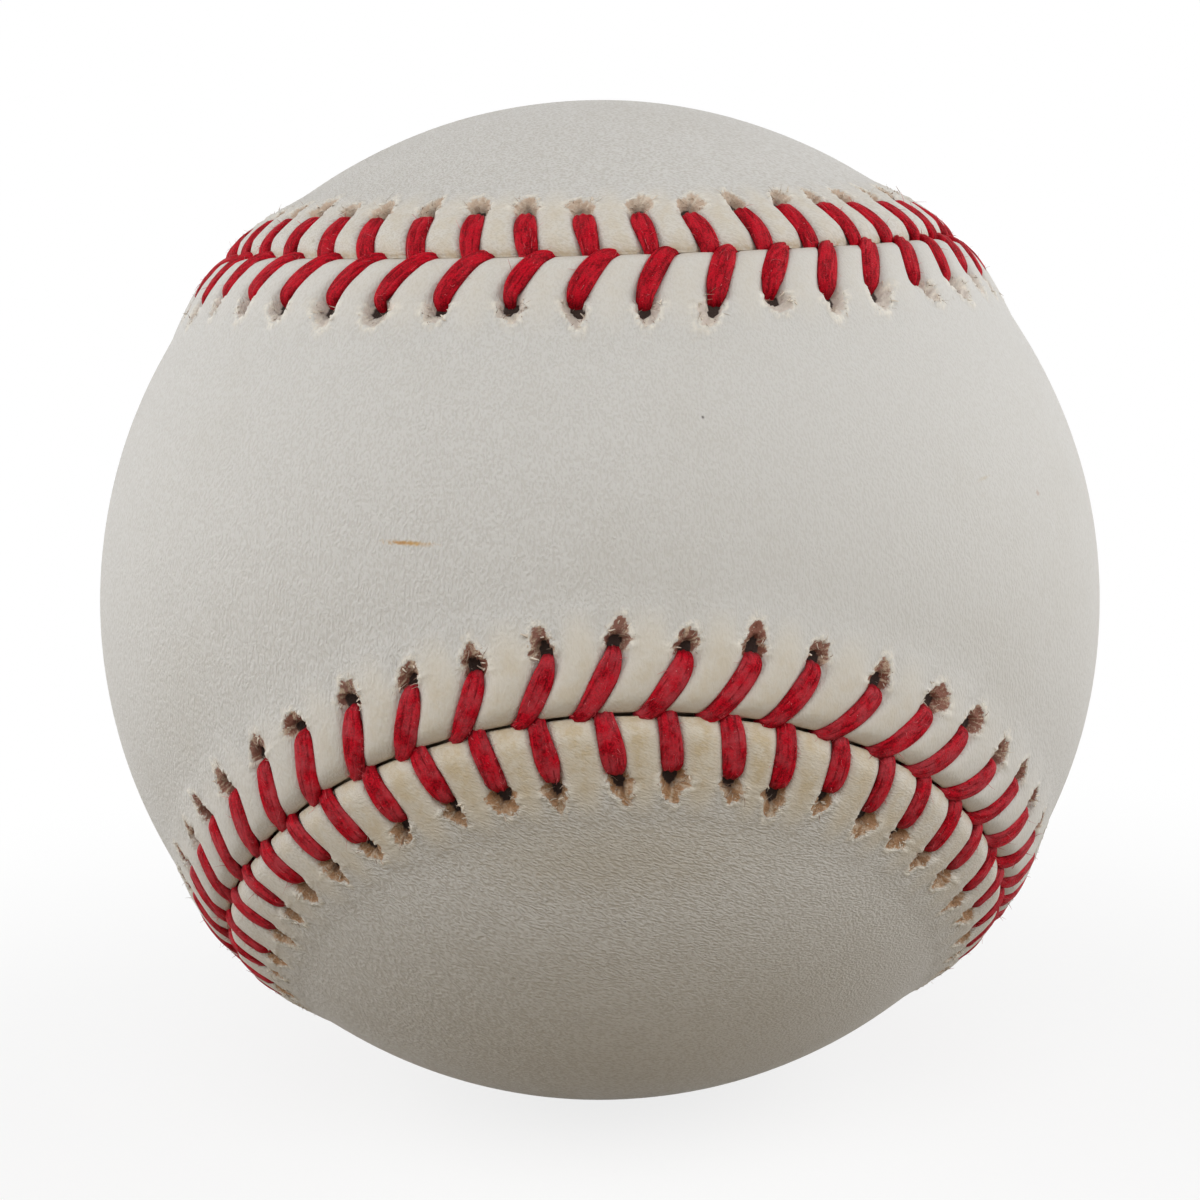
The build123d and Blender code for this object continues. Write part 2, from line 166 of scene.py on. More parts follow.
@dataclass
class SeamLine:
    """The closed seam between the two cover panels."""

    ball_radius: float = 37.09
    waist_width: float = 29.5
    lobe_end_radius: float = 28.1
    lobe_end_half_angle: float = math.radians(55.1)
    lie_tilt: float = math.radians(-20.0)

    def __post_init__(self) -> None:
        """Lay out the arcs and their lengths."""
        arcs = self.arcs()
        self.first = np.array([arc.start for arc in arcs])
        self.axes = np.array([arc.axis for arc in arcs])
        self.spreads = np.array([arc.spread for arc in arcs])
        lengths = np.array([arc.angle * arc.spread for arc in arcs]) * self.ball_radius
        self.starts = np.concatenate(([0.0], np.cumsum(lengths)[:-1]))
        self.length = float(lengths.sum())

    @property
    def turn(self) -> Array:
        """Return the rotation that lays the ball as it lies at rest."""
        return np.array(Matrix.Rotation(self.lie_tilt, 3, "X"))

    def arcs(self) -> list[SeamArc]:
        """Return the seam as tangent arcs in order of travel."""
        waist = self.waist_width / 2 / self.ball_radius
        lobe = self.lobe_end_radius / self.ball_radius
        top = np.array((0.0, -math.cos(waist), math.sin(waist)))
        lobe_axis = np.array((0.0, math.cos(waist + lobe), -math.sin(waist + lobe)))
        if np.cross(lobe_axis, top)[0] < 0:
            lobe_axis = -lobe_axis
        lobe_end = SeamArc(top, lobe_axis, self.lobe_end_half_angle)
        join = lobe_end.point(lobe_end.angle)
        heading = unit(np.cross(lobe_axis, join))
        crossing = unit(np.array((1.0, 0.0, 1.0)))
        axis = unit(np.cross(heading, join - crossing))
        if np.cross(axis, join) @ heading < 0:
            axis = -axis
        from_axis = join - axis * (axis @ join)
        to_axis = crossing - axis * (axis @ crossing)
        turn = math.atan2(np.cross(from_axis, to_axis) @ axis, from_axis @ to_axis)
        quarter = [lobe_end, SeamArc(join, axis, turn % (2 * math.pi))]
        quarter += [arc.half_turned(crossing).backwards() for arc in reversed(quarter)]
        half = quarter + [arc.mirrored().backwards() for arc in reversed(quarter)]
        whole = half + [arc.half_turned(np.array((0.0, 1.0, 0.0))) for arc in half]
        return [arc.tilted(self.turn) for arc in whole]

    def sample(self, distance: Array) -> tuple[Array, Array, Array]:
        """Return where the seam is at distances along it.

        Args:
            distance: Distances in millimetres, of any shape.

        Returns:
            Unit vectors to the seam, along its travel and to its left.
        """
        along = np.mod(np.asarray(distance, float), self.length)
        index = np.clip(np.searchsorted(self.starts, along, side="right") - 1, 0, len(self.starts) - 1)
        spread = self.spreads[index]
        angle = ((along - self.starts[index]) / (spread * self.ball_radius))[..., None]
        start = self.first[index]
        axis = self.axes[index]
        lift = axis * np.sum(axis * start, axis=-1, keepdims=True)
        point = lift + (start - lift) * np.cos(angle) + np.cross(axis, start) * np.sin(angle)
        heading = np.cross(axis, point) / spread[..., None]
        return point, heading, np.cross(point, heading)

    def place(self, distance: Array, aside: Array, height: Array) -> Array:
        """Return points beside the seam.

        Args:
            distance: Distances along the seam.
            aside: Offsets to the left of the seam along the leather.
            height: Heights over the ball's own radius.

        Returns:
            Points in millimetres.
        """
        point, _, left = self.sample(distance)
        angle = (np.asarray(aside, float) / self.ball_radius)[..., None]
        direction = point * np.cos(angle) + left * np.sin(angle)
        return direction * (self.ball_radius + np.asarray(height, float))[..., None]


class Row(Enum):
    """The two rows of stitches, one in each panel."""

    FRONT = "front"
    REAR = "rear"


@dataclass(frozen=True)
class RowLay:
    """How one row of stitches lies.

    Attributes:
        panel: Frame node of the panel that the row is sewn through.
        hand: 1 to the left of the seam's travel, -1 to its right.
        lean: How far a hole trails the end of its leg at the seam.
        shift: How far that end leads the station.
        setback: How far the holes stand back from the seam.
        tear_half_width: Half the breadth of the torn leather beyond a hole.
        tear_half_length: Half its length.
        seed: Start of the row's own variation.
    """

    panel: str
    hand: int
    lean: float
    shift: float
    setback: float
    tear_half_width: float
    tear_half_length: float
    seed: int


LAYS: dict[Row, RowLay] = {
    Row.FRONT: RowLay("front_cover_panel", -1, 1.9, 0.485, 3.6, 0.76, 1.02, 11),
    Row.REAR: RowLay("rear_cover_panel", 1, 0.6, -0.485, 3.4, 0.86, 0.96, 23),
}


@dataclass
class Stitching:
    """Where the pairs of stitches stand along the seam, with the unevenness of hand sewing."""

    seam: SeamLine
    pairs: int = 108
    phase: float = 0.7
    drift: float = 0.2
    leg_bow: float = 1.4
    sway: float = 0.10
    lean_spread: float = 0.16
    setback_spread: float = 0.16
    width_span: Span = (0.9, 1.1)
    tear_span: Span = (0.75, 1.3)
    gape_span: Span = (0.8, 1.2)
    skew_spread: float = 0.16
    side_spread: float = 0.14

    def __post_init__(self) -> None:
        """Draw each row's variation."""
        self.pitch = self.seam.length / self.pairs
        self.uneven: dict[Row, dict[str, Array]] = {}
        for row, lay in LAYS.items():
            draw = np.random.default_rng(lay.seed)
            self.uneven[row] = {
                "sway": draw.normal(0, self.sway, self.pairs),
                "lean": draw.normal(0, self.lean_spread, self.pairs),
                "setback": draw.normal(0, self.setback_spread, self.pairs),
                "width": draw.uniform(*self.width_span, self.pairs),
                "tear": draw.uniform(*self.tear_span, self.pairs),
                "gape": draw.uniform(*self.gape_span, self.pairs),
                "skew": draw.normal(0, self.skew_spread, self.pairs),
                "tone": draw.uniform(0, 1, self.pairs),
                "side": draw.normal(0, self.side_spread, self.pairs),
            }

    def own(self, row: Row, name: str, share: Array) -> Array:
        """Return a row's variation at stations and eased between them.

        Args:
            row: The row of stitches.
            name: The varied size.
            share: Station numbers, which may be fractions.

        Returns:
            One value for each station number.
        """
        values = self.uneven[row][name]
        low = np.floor(share).astype(int)
        ease = smooth(0.0, 1.0, share - low)
        return values[low % self.pairs] * (1 - ease) + values[(low + 1) % self.pairs] * ease

    def nearest(self, row: Row, name: str, share: Array) -> Array:
        """Return a row's variation at the nearest station."""
        return self.uneven[row][name][np.rint(share).astype(int) % self.pairs]

    def tear_shape(self, row: Row, share: Array) -> list[Array]:
        """Return the length, breadth, skew and sideways shift of the tear at the nearest station."""
        return [self.nearest(row, name, share) for name in ("tear", "gape", "skew", "side")]

    def reach(self, row: Row, share: Array) -> Array:
        """Return how far the holes stand back from the seam."""
        return LAYS[row].setback + self.own(row, "setback", share)

    def along(self, row: Row, share: Array, aside: Array) -> Array:
        """Return distances along the seam on the lines that the legs follow.

        Args:
            row: The row of stitches.
            share: Station numbers, which may be fractions.
            aside: Distances from the seam, positive.

        Returns:
            Distances along the seam.
        """
        lay = LAYS[row]
        station = (share + self.phase + self.drift * np.cos(2 * math.pi * share / self.pairs)) * self.pitch
        back = 1 - (1 - np.clip(aside / self.reach(row, share), 0, 1)) ** self.leg_bow
        lean = lay.lean + self.own(row, "lean", share)
        return station + lay.shift + self.own(row, "sway", share) - lean * back


class Surface:
    """Points, faces and point values of one piece, gathered in millimetres."""

    def __init__(self) -> None:
        """Start with nothing."""
        self.points: list[Array] = []
        self.faces: list[list[int]] = []
        self.values: dict[str, list[Array]] = {}
        self.count = 0

    def add(self, points: Array, faces: Array, **values: Array) -> int:
        """Add points with the faces between them.

        Args:
            points: Points in millimetres, one row each.
            faces: Point numbers within these points, one row for each face.
            values: Named values, one for each point.

        Returns:
            The number of the first of these points.
        """
        first = self.count
        self.points.append(points)
        self.faces += (np.asarray(faces) + first).tolist()
        for name, value in values.items():
            held = self.values.setdefault(name, [np.zeros(first)])
            held.append(np.asarray(value, float))
        self.count += len(points)
        for held in self.values.values():
            missing = self.count - sum(len(part) for part in held)
            if missing:
                held.append(np.zeros(missing))
        return first

    def piece(self, name: str, finish: Material, slot: str, *nodes: str) -> Piece:
        """Make the piece and hang it on the ball.

        Args:
            name: Name of the piece.
            finish: Its material.
            slot: Not used.
            nodes: Frame nodes that the piece stands for.

        Returns:
            The new object.
        """
        mesh = bpy.data.meshes.new(name)
        mesh.from_pydata((np.concatenate(self.points) * MM).tolist(), [], self.faces)
        for key, held in self.values.items():
            attribute = mesh.attributes.new(key, "FLOAT", "POINT")
            attribute.data.foreach_set("value", np.concatenate(held).astype(np.float32))
        mesh.polygons.foreach_set("use_smooth", np.ones(len(mesh.polygons), bool))
        mesh.materials.append(finish)
        mesh.update()
        piece = bpy.data.objects.new(name, mesh)
        bpy.context.scene.collection.objects.link(piece)
        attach(piece, BODY)
        if nodes:
            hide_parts(*nodes)
        log.info("%s: %d points, %d faces", name, len(mesh.vertices), len(mesh.polygons))
        return piece


def grid_faces(rows: int, columns: int, closed: bool) -> Array:
    """Return the four-sided faces of a grid of points laid row by row.

    Args:
        rows: Number of rows.
        columns: Number of points in a row.
        closed: Whether each row closes on itself.

    Returns:
        Point numbers, one row for each face.
    """
    row = np.arange(rows - 1)[:, None] * columns
    column = np.arange(columns if closed else columns - 1)[None, :]
    after = (column + 1) % columns
    corners = (row + column, row + after, row + columns + after, row + columns + column)
    return np.stack([corner.ravel() for corner in corners], axis=1)


def tube_parts(rings: Array) -> tuple[Array, Array]:
    """Return the points and triangles of a tube with closed ends.

    Args:
        rings: Points of the rings, shaped (rings, sides, 3).

    Returns:
        Points, and point numbers, one row for each triangle.
    """
    count, sides = rings.shape[:2]
    points = np.concatenate((rings.reshape(-1, 3), [rings[0].mean(0), rings[-1].mean(0)]))
    quads = grid_faces(count, sides, True)
    walls = np.concatenate((quads[:, [0, 1, 2]], quads[:, [0, 2, 3]]))
    side = np.arange(sides)
    after = (side + 1) % sides
    last = (count - 1) * sides
    near = np.stack((np.full(sides, count * sides), after, side), axis=1)
    far = np.stack((np.full(sides, count * sides + 1), last + side, last + after), axis=1)
    return points, np.concatenate((walls, near, far))


def round_turn(sides: int) -> Array:
    """Return evenly spaced angles of one full turn."""
    return np.linspace(0, 2 * math.pi, sides, endpoint=False)


def oval_rings(middle: Array, across: Array, upward: Array, sides: int) -> Array:
    """Return oval rings of points round a middle line.

    Args:
        middle: Middle of each ring.
        across: Half of its breadth, as a vector.
        upward: Half of its thickness, as a vector.
        sides: Number of points in a ring.

    Returns:
        Points, shaped (rings, sides, 3).
    """
    turn = round_turn(sides)[None, :, None]
    return middle[:, None] + across[:, None] * np.cos(turn) + upward[:, None] * np.sin(turn)


def oval_share(across: Array, past: Array, wide: Array, long: Array) -> Array:
    """Return the distance from the middle of an oval, as a share of its own size."""
    return np.sqrt((across / wide) ** 2 + (past / long) ** 2)


@dataclass
class CoverPanel:
    """One figure-eight leather panel: smooth field, raised lip, pressed grooves and torn awl holes.

    A span gives the distances, in millimetres or as a share of a hole's size, between which something
    fades in. A name that ends in start or end counts from the end of a stitch leg.
    """

    stitching: Stitching
    row: Row
    lip_rise: float = 0.46
    lip_underside: float = -0.55
    lip_inner_edge: float = 5.5
    leather_underside: float = -1.08
    lip_fall: Span = (1.9, 8.0)
    edge_round: float = 1.3
    edge_drop: float = 0.54
    edge_ripples: float = 1.9
    edge_waves: Ripples = Ripples(1.0, 0.0)
    edge_seeds: float = 3.0
    edge_wave_height: float = 0.05
    edge_stain: Span = (0.0, 0.55)
    notch_depth: float = 0.08
    notch_half_width: float = 0.62
    tight_levels: Span = (8.0, 18.0)
    tightness: float = 0.8
    wander_fade: Span = (0.3, 2.2)
    wall_clearance: float = 0.02
    gap_half_width: float = 0.09
    pillow_rise: float = 0.24
    pillow_fullness: float = 0.6
    pillow_fade: Span = (0.1, 1.2)
    pucker: float = 0.15
    pucker_start: Span = (-2.4, 0.6)
    pucker_end: Span = (1.2, 3.4)
    groove_depth: float = 0.44
    groove_half_width: float = 0.72
    groove_end: Span = (-0.1, 0.7)
    # Painted shade and dirt: the groove value darkens the stitch grooves, and a thin line along each edge of
    # a leg.
    groove_dirt_and_shade: float = 0.8
    leg_edge_aside: float = 0.71
    leg_edge_half_width: float = 0.09
    leg_edge_end: Span = (-0.1, 0.4)
    waves: Ripples = Ripples(1.3, 2.0)
    wave_height: float = 0.03
    fine_waves: Ripples = Ripples(0.5, 6.0)
    fine_wave_height: float = 0.014
    field_waves: Ripples = Ripples(9.0, 4.0)
    field_wave_height: float = 0.03
    hole_floor: float = -0.46
    hole_half_width: float = 0.53
    hole_half_length: float = 0.70
    hole_past: float = 0.38
    hole_edge: Span = (0.82, 1.08)
    hole_jag: float = 0.55
    hole_start: Span = (-0.55, -0.38)
    tear_past: float = 0.80
    tear_depth: float = 0.36
    tear_size: float = 1.12
    tear_start: Span = (-0.25, 0.15)
    tear_wall: Span = (0.0, 0.42)
    tear_slope: float = 0.7
    tear_slope_end: Span = (0.1, 1.7)
    narrowing: float = 0.3
    narrow_end: Span = (0.3, 1.9)
    rough: Ripples = Ripples(0.55, 5.0)
    fine: Ripples = Ripples(0.24, 9.0)
    ragged: Ripples = Ripples(0.55, 13.0)
    jags: tuple[float, float, float] = (0.26, 0.22, 0.26)
    streaks: Ripples = Ripples(0.24, 17.0)
    hole_shift: float = 3.1
    streak_shift: float = 1.7
    shreds: Ripples = Ripples(0.26, 31.0)
    shred_depth: float = 0.14
    shred_lift: float = 0.16
    shred_floor: float = 0.03
    rim_lift: float = 0.10
    rim_back: float = 0.08
    rim_width: float = 0.2
    rim_start: Span = (-0.1, 0.4)
    halo_edge: Span = (0.9, 1.9)
    halo_jag: float = 0.5
    halo_start: Span = (-0.6, 0.2)
    field_spacing: float = 0.95
    field_margin: float = 7.8
    underside_spacing: float = 2.2
    underside_margin: float = 7.2
    packing: float = 0.87
    seam_step: float = 0.5
    batches: int = 24
    fill_tolerance: float = 1e-9
    leg_columns: tuple[float, ...] = (0.16, 0.32, 0.47, 0.61, 0.75, 0.95, 1.36)
    wall_levels: tuple[Span, ...] = ((0.14, -0.55), (0.10, -0.32), (0.05, -0.12))
    rows_aside: tuple[float, ...] = (
        0.0, 0.05, 0.12, 0.22, 0.36, 0.55, 0.8, 1.1, 1.5, 1.95, 2.35, 2.65, 2.9, 3.08, 3.22, 3.36, 3.5, 3.62,
        3.74, 3.86, 3.98, 4.1, 4.22, 4.34, 4.46, 4.58, 4.7, 4.82, 4.94, 5.06, 5.2, 5.35, 5.52, 5.75, 6.05,
        6.4,
    )
    merging_rings: tuple[tuple[float, int], ...] = ((6.72, 2), (7.2, 4))
    under_rings: tuple[tuple[float, int], ...] = ((0.75, 2), (1.6, 4), (3.4, 4), (5.3, 4), (5.95, 4))

    @property
    def lay(self) -> RowLay:
        """Return how this panel's row of stitches lies."""
        return LAYS[self.row]

    def columns(self) -> Array:
        """Return the station number of every column of points round the panel."""
        offsets = np.array((0.0,) + self.leg_columns) / self.stitching.pitch
        one = np.unique(np.concatenate((-offsets, offsets, [-0.5])))
        return (np.arange(self.stitching.pairs)[:, None] + one[None, :]).ravel()

    def beside(self, share: Array, aside: Array) -> tuple[Array, Array]:
        """Return the offset from the nearest leg, and the distance from the end of that leg."""
        offset = (share - np.rint(share)) * self.stitching.pitch
        reach = self.lay.setback + self.stitching.nearest(self.row, "setback", share)
        return offset, aside - reach

    def edge_wander(self, share: Array) -> Array:
        """Return how far the cut edge of the leather stands back from the seam line."""
        level = np.zeros_like(share)
        offset, _ = self.beside(share, level)
        marks = np.stack((share * self.edge_ripples, level, level), axis=1)
        uneven = self.edge_waves.at(marks, self.edge_seeds * self.lay.seed)
        notch = self.notch_depth * np.exp(-((offset / self.notch_half_width) ** 4))
        line, _, _ = self.stitching.seam.sample(self.stitching.along(self.row, share, level))
        tight = smooth(*self.tight_levels, line[:, 2] * self.stitching.seam.ball_radius)
        return (self.gap_half_width + self.edge_wave_height * uneven) * (1 - self.tightness * tight) + notch

    def torn(self, share: Array, aside: Array, points: Array) -> dict[str, Array]:
        """Return how far each point lies in an awl hole and in the torn leather beyond it.

        Args:
            share: Station numbers of the points.
            aside: Distances from the seam.
            points: Places of the points on the ball.

        Returns:
            Shares from 0 to 1 named hole, tear, rim, which is the edge of the tear, halo, which is the
            stained leather round it, and streak, which runs outwards from its middle.
        """
        lay = self.lay
        offset, past = self.beside(share, aside)
        length, gape, skew, side = self.stitching.tear_shape(self.row, share)
        across = offset - side + skew * np.maximum(past, 0)
        angle = np.arctan2(past - self.tear_past, across)
        round_it = np.stack((np.cos(angle), np.sin(angle), self.hole_shift * np.rint(share)), axis=1)
        rough, fine, ragged = self.jags
        jag = rough * self.rough.at(points, lay.seed) + fine * self.fine.at(points, lay.seed)
        jag = jag + ragged * self.ragged.at(round_it, lay.seed)
        hole = oval_share(
            across + side, past - self.hole_past, self.hole_half_width * gape, self.hole_half_length * length
        )
        hole = (1 - smooth(*self.hole_edge, hole + self.hole_jag * jag)) * smooth(*self.hole_start, past)
        narrow = gape * (1 - self.narrowing * smooth(*self.narrow_end, past))
        away = oval_share(
            across, past - self.tear_past, lay.tear_half_width * narrow, lay.tear_half_length * length
        )
        inside = self.tear_size - away - jag
        rim = np.exp(-(((inside + self.rim_back) / self.rim_width) ** 2))
        halo = 1 - smooth(*self.halo_edge, away + self.halo_jag * jag)
        streak = self.streaks.at(round_it * (1.0, 1.0, self.streak_shift), lay.seed)
        return {
            "hole": hole,
            "tear": np.clip(inside, 0, 1) * smooth(*self.tear_start, past),
            "rim": rim * smooth(*self.rim_start, past),
            "halo": halo * smooth(*self.halo_start, past),
            "streak": 0.5 + 0.5 * streak,
        }

    def height(self, share: Array, aside: Array, points: Array) -> tuple[Array, dict]:
        """Return the height of the leather and the values that its finish reads.

        Args:
            share: Station numbers of the points.
            aside: Distances from the cut edge of the leather.
            points: Places of the points on the ball.

        Returns:
            Heights over the ball's radius, and named values from 0 to 1.
        """
        offset, past = self.beside(share, aside)
        on_lip = self.lip_share(aside)
        turn = np.clip(1 - aside / self.edge_round, 0, 1)
        rounding = 1 - np.sqrt(np.maximum(1 - turn * turn, 0))
        between = 0.5 - 0.5 * np.cos(2 * math.pi * offset / self.stitching.pitch)
        rise = self.lip_rise * on_lip - self.edge_drop * rounding
        rise += self.pillow_rise * between**self.pillow_fullness * on_lip * smooth(*self.pillow_fade, aside)
        pulled = self.pucker * (1 - between) * on_lip * smooth(*self.pucker_start, past)
        rise -= pulled * (1 - smooth(*self.pucker_end, past))
        groove = np.exp(-((np.abs(offset) / self.groove_half_width) ** 4))
        groove = groove * (1 - smooth(*self.groove_end, past))
        rise -= self.groove_depth * groove
        waves = self.wave_height * self.waves.at(points) + self.fine_wave_height * self.fine_waves.at(points)
        rise += waves * on_lip
        torn = self.torn(share, aside, points)
        shreds = self.shreds.at(points)
        sloped = self.tear_depth * (1 - self.tear_slope * smooth(*self.tear_slope_end, past))
        rise -= smooth(*self.tear_wall, torn["tear"]) * (sloped + self.shred_depth * shreds)
        rise += torn["rim"] * (self.rim_lift + self.shred_lift * np.maximum(shreds, 0))
        floor = self.hole_floor + self.shred_floor * shreds
        rise = rise * (1 - torn["hole"]) + floor * torn["hole"]
        # Painted shadow and dirt: a thin dark line along both edges of each leg, joined to the groove's share
        # in the groove value.
        leg_edge_dirt_and_shade = np.exp(-(((np.abs(offset) - self.leg_edge_aside) / self.leg_edge_half_width) ** 2))
        leg_edge_dirt_and_shade = leg_edge_dirt_and_shade * (1 - smooth(*self.leg_edge_end, past))
        return rise, {
            **torn,
            "groove": np.maximum(groove * self.groove_dirt_and_shade, leg_edge_dirt_and_shade),
            "pillow": between * on_lip,
            "edge": 1 - smooth(*self.edge_stain, aside),
            "tone": self.stitching.nearest(self.row, "tone", share),
        }

    def lip_share(self, aside: Array) -> Array:
        """Return how far points are up on the lip."""
        return 1 - smooth(*self.lip_fall, aside)

    def stereographic(self, directions: Array) -> Array:
        """Return directions flattened from the pole that faces away from the panel's waist."""
        level = directions @ self.stitching.seam.turn
        way = -self.lay.hand
        return level[:, [0, 2]] / (1 - way * level[:, 1:2])

    def far_points(self, spacing: float, margin: float) -> tuple[Array, Array]:
        """Return evenly spread directions over the panel's field.

        Args:
            spacing: Distance between neighbours.
            margin: Least distance from the seam.

        Returns:
            Unit vectors, and their distances from the seam.
        """
        seam = self.stitching.seam
        count = int(4 * math.pi * seam.ball_radius**2 / (self.packing * spacing**2))
        number = np.arange(count) + 0.5
        level = 1 - 2 * number / count
        turn = number * math.pi * (3 - math.sqrt(5))
        round_it = np.sqrt(1 - level * level)
        spots = np.stack((round_it * np.cos(turn), round_it * np.sin(turn), level), axis=1)
        line, _, left = seam.sample(np.arange(0, seam.length, self.seam_step))
        kept, distances = [], []
        for part in np.array_split(spots, self.batches):
            near = np.argmax(part @ line.T, axis=1)
            away = np.arccos(np.clip(np.sum(part * line[near], axis=1), -1, 1)) * seam.ball_radius
            hand = np.sum(part * left[near], axis=1) * self.lay.hand
            inside = (away > margin) & (hand > 0)
            kept.append(part[inside])
            distances.append(away[inside])
        return np.concatenate(kept), np.concatenate(distances)

    def fill(self, border: Array, inside: Array, outward: bool) -> Array:
        """Return the triangles that fill the panel inside a border.

        Args:
            border: Directions of the border in order.
            inside: Directions of the points inside it.
            outward: Whether the faces look away from the ball.

        Returns:
            Point numbers, the border first, one row for each triangle.
        """
        directions = np.concatenate((border, inside))
        flat = self.stereographic(directions)
        count = len(border)
        rim = [(number, (number + 1) % count) for number in range(count)]
        spots = [Vector(spot) for spot in flat.tolist()]
        result = geometry.delaunay_2d_cdt(spots, rim, [], 1, self.fill_tolerance)
        origin = np.array([came[0] for came in result[3]])
        faces = origin[np.array([face for face in result[2] if len(face) == 3])]
        corner = directions[faces]
        facing = np.cross(corner[:, 1] - corner[:, 0], corner[:, 2] - corner[:, 0])
        wrong = (np.sum(facing * corner[:, 0], axis=1) > 0) != outward
        faces[wrong] = faces[wrong][:, ::-1]
        return faces

    def spots(self, share: Array, away: Array, height: Array) -> Array:
        """Return the panel's points at distances from the seam and heights over the ball's radius."""
        along = self.stitching.along(self.row, share, away)
        return self.stitching.seam.place(along, self.lay.hand * away, height)

    def ring(self, share: Array, aside: float) -> Array:
        """Return directions at one distance from the seam."""
        return unit(self.spots(share, np.full_like(share, aside), np.zeros_like(share)))

    def lip(self, surface: Surface) -> tuple[Array, Array]:
        """Add the wall at the gap, the lip and the holes.

        Args:
            surface: Where the points and faces go.

        Returns:
            Point numbers of the outermost row and of the lowest row of the wall.
        """
        share = self.columns()
        none = np.zeros_like(share)
        radius = self.stitching.seam.ball_radius
        wander = self.edge_wander(share)
        rows, values = [], []
        for aside in self.rows_aside:
            from_edge = np.full_like(share, aside)
            away = from_edge + wander * (1 - smooth(*self.wander_fade, from_edge))
            flat = self.spots(share, away, none)
            rise, own = self.height(share, away - self.gap_half_width, flat)
            rows.append(unit(flat) * (radius + rise)[:, None])
            values.append(own)
        highest = np.linalg.norm(rows[0], axis=1) - radius - self.wall_clearance
        walls = [
            self.spots(share, wander + back, np.minimum(level, highest))
            for back, level in self.wall_levels
        ]
        held = {name: [none] * len(walls) + [own[name] for own in values] for name in values[0]}
        held["gap"] = [np.ones_like(share)] * len(walls) + [none] * len(rows)
        count = len(walls) + len(rows)
        faces = grid_faces(count, len(share), True)
        if self.lay.hand < 0:
            faces = faces[:, ::-1]
        points = np.concatenate(walls + rows)
        first = surface.add(points, faces, **{name: np.concatenate(parts) for name, parts in held.items()})
        numbers = first + np.arange(count * len(share)).reshape(count, len(share))
        return numbers[-1], numbers[0]

    def join(
        self, surface: Surface, border: Array, inside: Array, lift: Array, outward: bool
    ) -> None:
        """Fill the panel between a border already laid and new points.

        Args:
            surface: Where the points and faces go.
            border: Point numbers of the border in order.
            inside: Directions of the new points.
            lift: Heights of the new points over the ball's radius.
            outward: Whether the faces look away from the ball.
        """
        laid = np.concatenate(surface.points)
        faces = self.fill(unit(laid[border]), inside, outward)
        first = surface.count
        surface.add(inside * (self.stitching.seam.ball_radius + lift)[:, None], np.empty((0, 3), int))
        numbers = np.concatenate((border, first + np.arange(len(inside))))
        surface.faces += numbers[faces].tolist()

    def build(self, finish: Material) -> Piece:
        """Build the panel.

        Args:
            finish: The panel's leather.

        Returns:
            The panel's object.
        """
        surface = Surface()
        outer, lowest = self.lip(surface)
        share = self.columns()
        rings = [self.ring(share[::step], aside) for aside, step in self.merging_rings]
        asides = [np.full(len(share[::step]), aside) for aside, step in self.merging_rings]
        spots, distances = self.far_points(self.field_spacing, self.field_margin)
        inside = np.concatenate(rings + [spots])
        rise = self.lip_rise * self.lip_share(np.concatenate(asides + [distances]))
        rise += self.field_wave_height * self.field_waves.at(inside * self.stitching.seam.ball_radius)
        self.join(surface, outer, inside, rise, True)
        rings, lifts = [], []
        for aside, step in self.under_rings:
            rings.append(self.ring(share[::step], aside))
            deep = self.lip_underside if aside < self.lip_inner_edge else self.leather_underside
            lifts.append(np.full(len(rings[-1]), deep))
        rings.append(self.far_points(self.underside_spacing, self.underside_margin)[0])
        lifts.append(np.full(len(rings[-1]), self.leather_underside))
        self.join(surface, lowest, np.concatenate(rings), np.concatenate(lifts), False)
        name = self.lay.panel.replace("cover", "leather")
        return surface.piece(name, finish, "cover_leather", self.lay.panel)


# The middle line of a leg from its hole to the seam, in rows of: ahead along the seam, share of the way from
# the seam to the hole, distance beyond that, height, share of the full width.
LEG_ROUTES: dict[Row, tuple[tuple[float, ...], ...]] = {
    Row.FRONT: (
        (0.0, 1.0, 0.10, -0.80, 0.66),
        (0.0, 1.0, 0.06, -0.38, 0.76),
        (0.0, 1.0, -0.04, -0.02, 0.86),
        (0.0, 1.0, -0.30, 0.24, 0.95),
        (0.0, 0.82, 0.0, 0.31, 1.00),
        (0.0, 0.62, 0.0, 0.40, 1.02),
        (0.0, 0.42, 0.0, 0.43, 1.02),
        (0.0, 0.24, 0.0, 0.37, 0.96),
        (0.02, 0.11, 0.0, 0.25, 0.84),
        (0.12, 0.03, 0.0, 0.10, 0.68),
        (0.32, 0.0, -0.03, -0.08, 0.52),
        (0.50, 0.0, -0.05, -0.32, 0.42),
        (0.58, 0.0, -0.05, -0.60, 0.36),
    ),
    Row.REAR: (
        (0.0, 1.0, 0.10, -0.80, 0.66),
        (0.0, 1.0, 0.06, -0.38, 0.74),
        (0.0, 1.0, -0.04, -0.02, 0.84),
        (0.0, 1.0, -0.30, 0.24, 0.95),
        (0.0, 0.82, 0.0, 0.30, 1.02),
        (0.0, 0.62, 0.0, 0.40, 1.02),
        (0.0, 0.42, 0.0, 0.42, 0.99),
        (0.0, 0.24, 0.0, 0.35, 0.94),
        (0.0, 0.11, 0.0, 0.21, 0.88),
        (0.0, 0.03, 0.0, 0.02, 0.84),
        (0.04, 0.0, -0.06, -0.26, 0.80),
        (0.06, 0.0, -0.10, -0.62, 0.74),
    ),
}


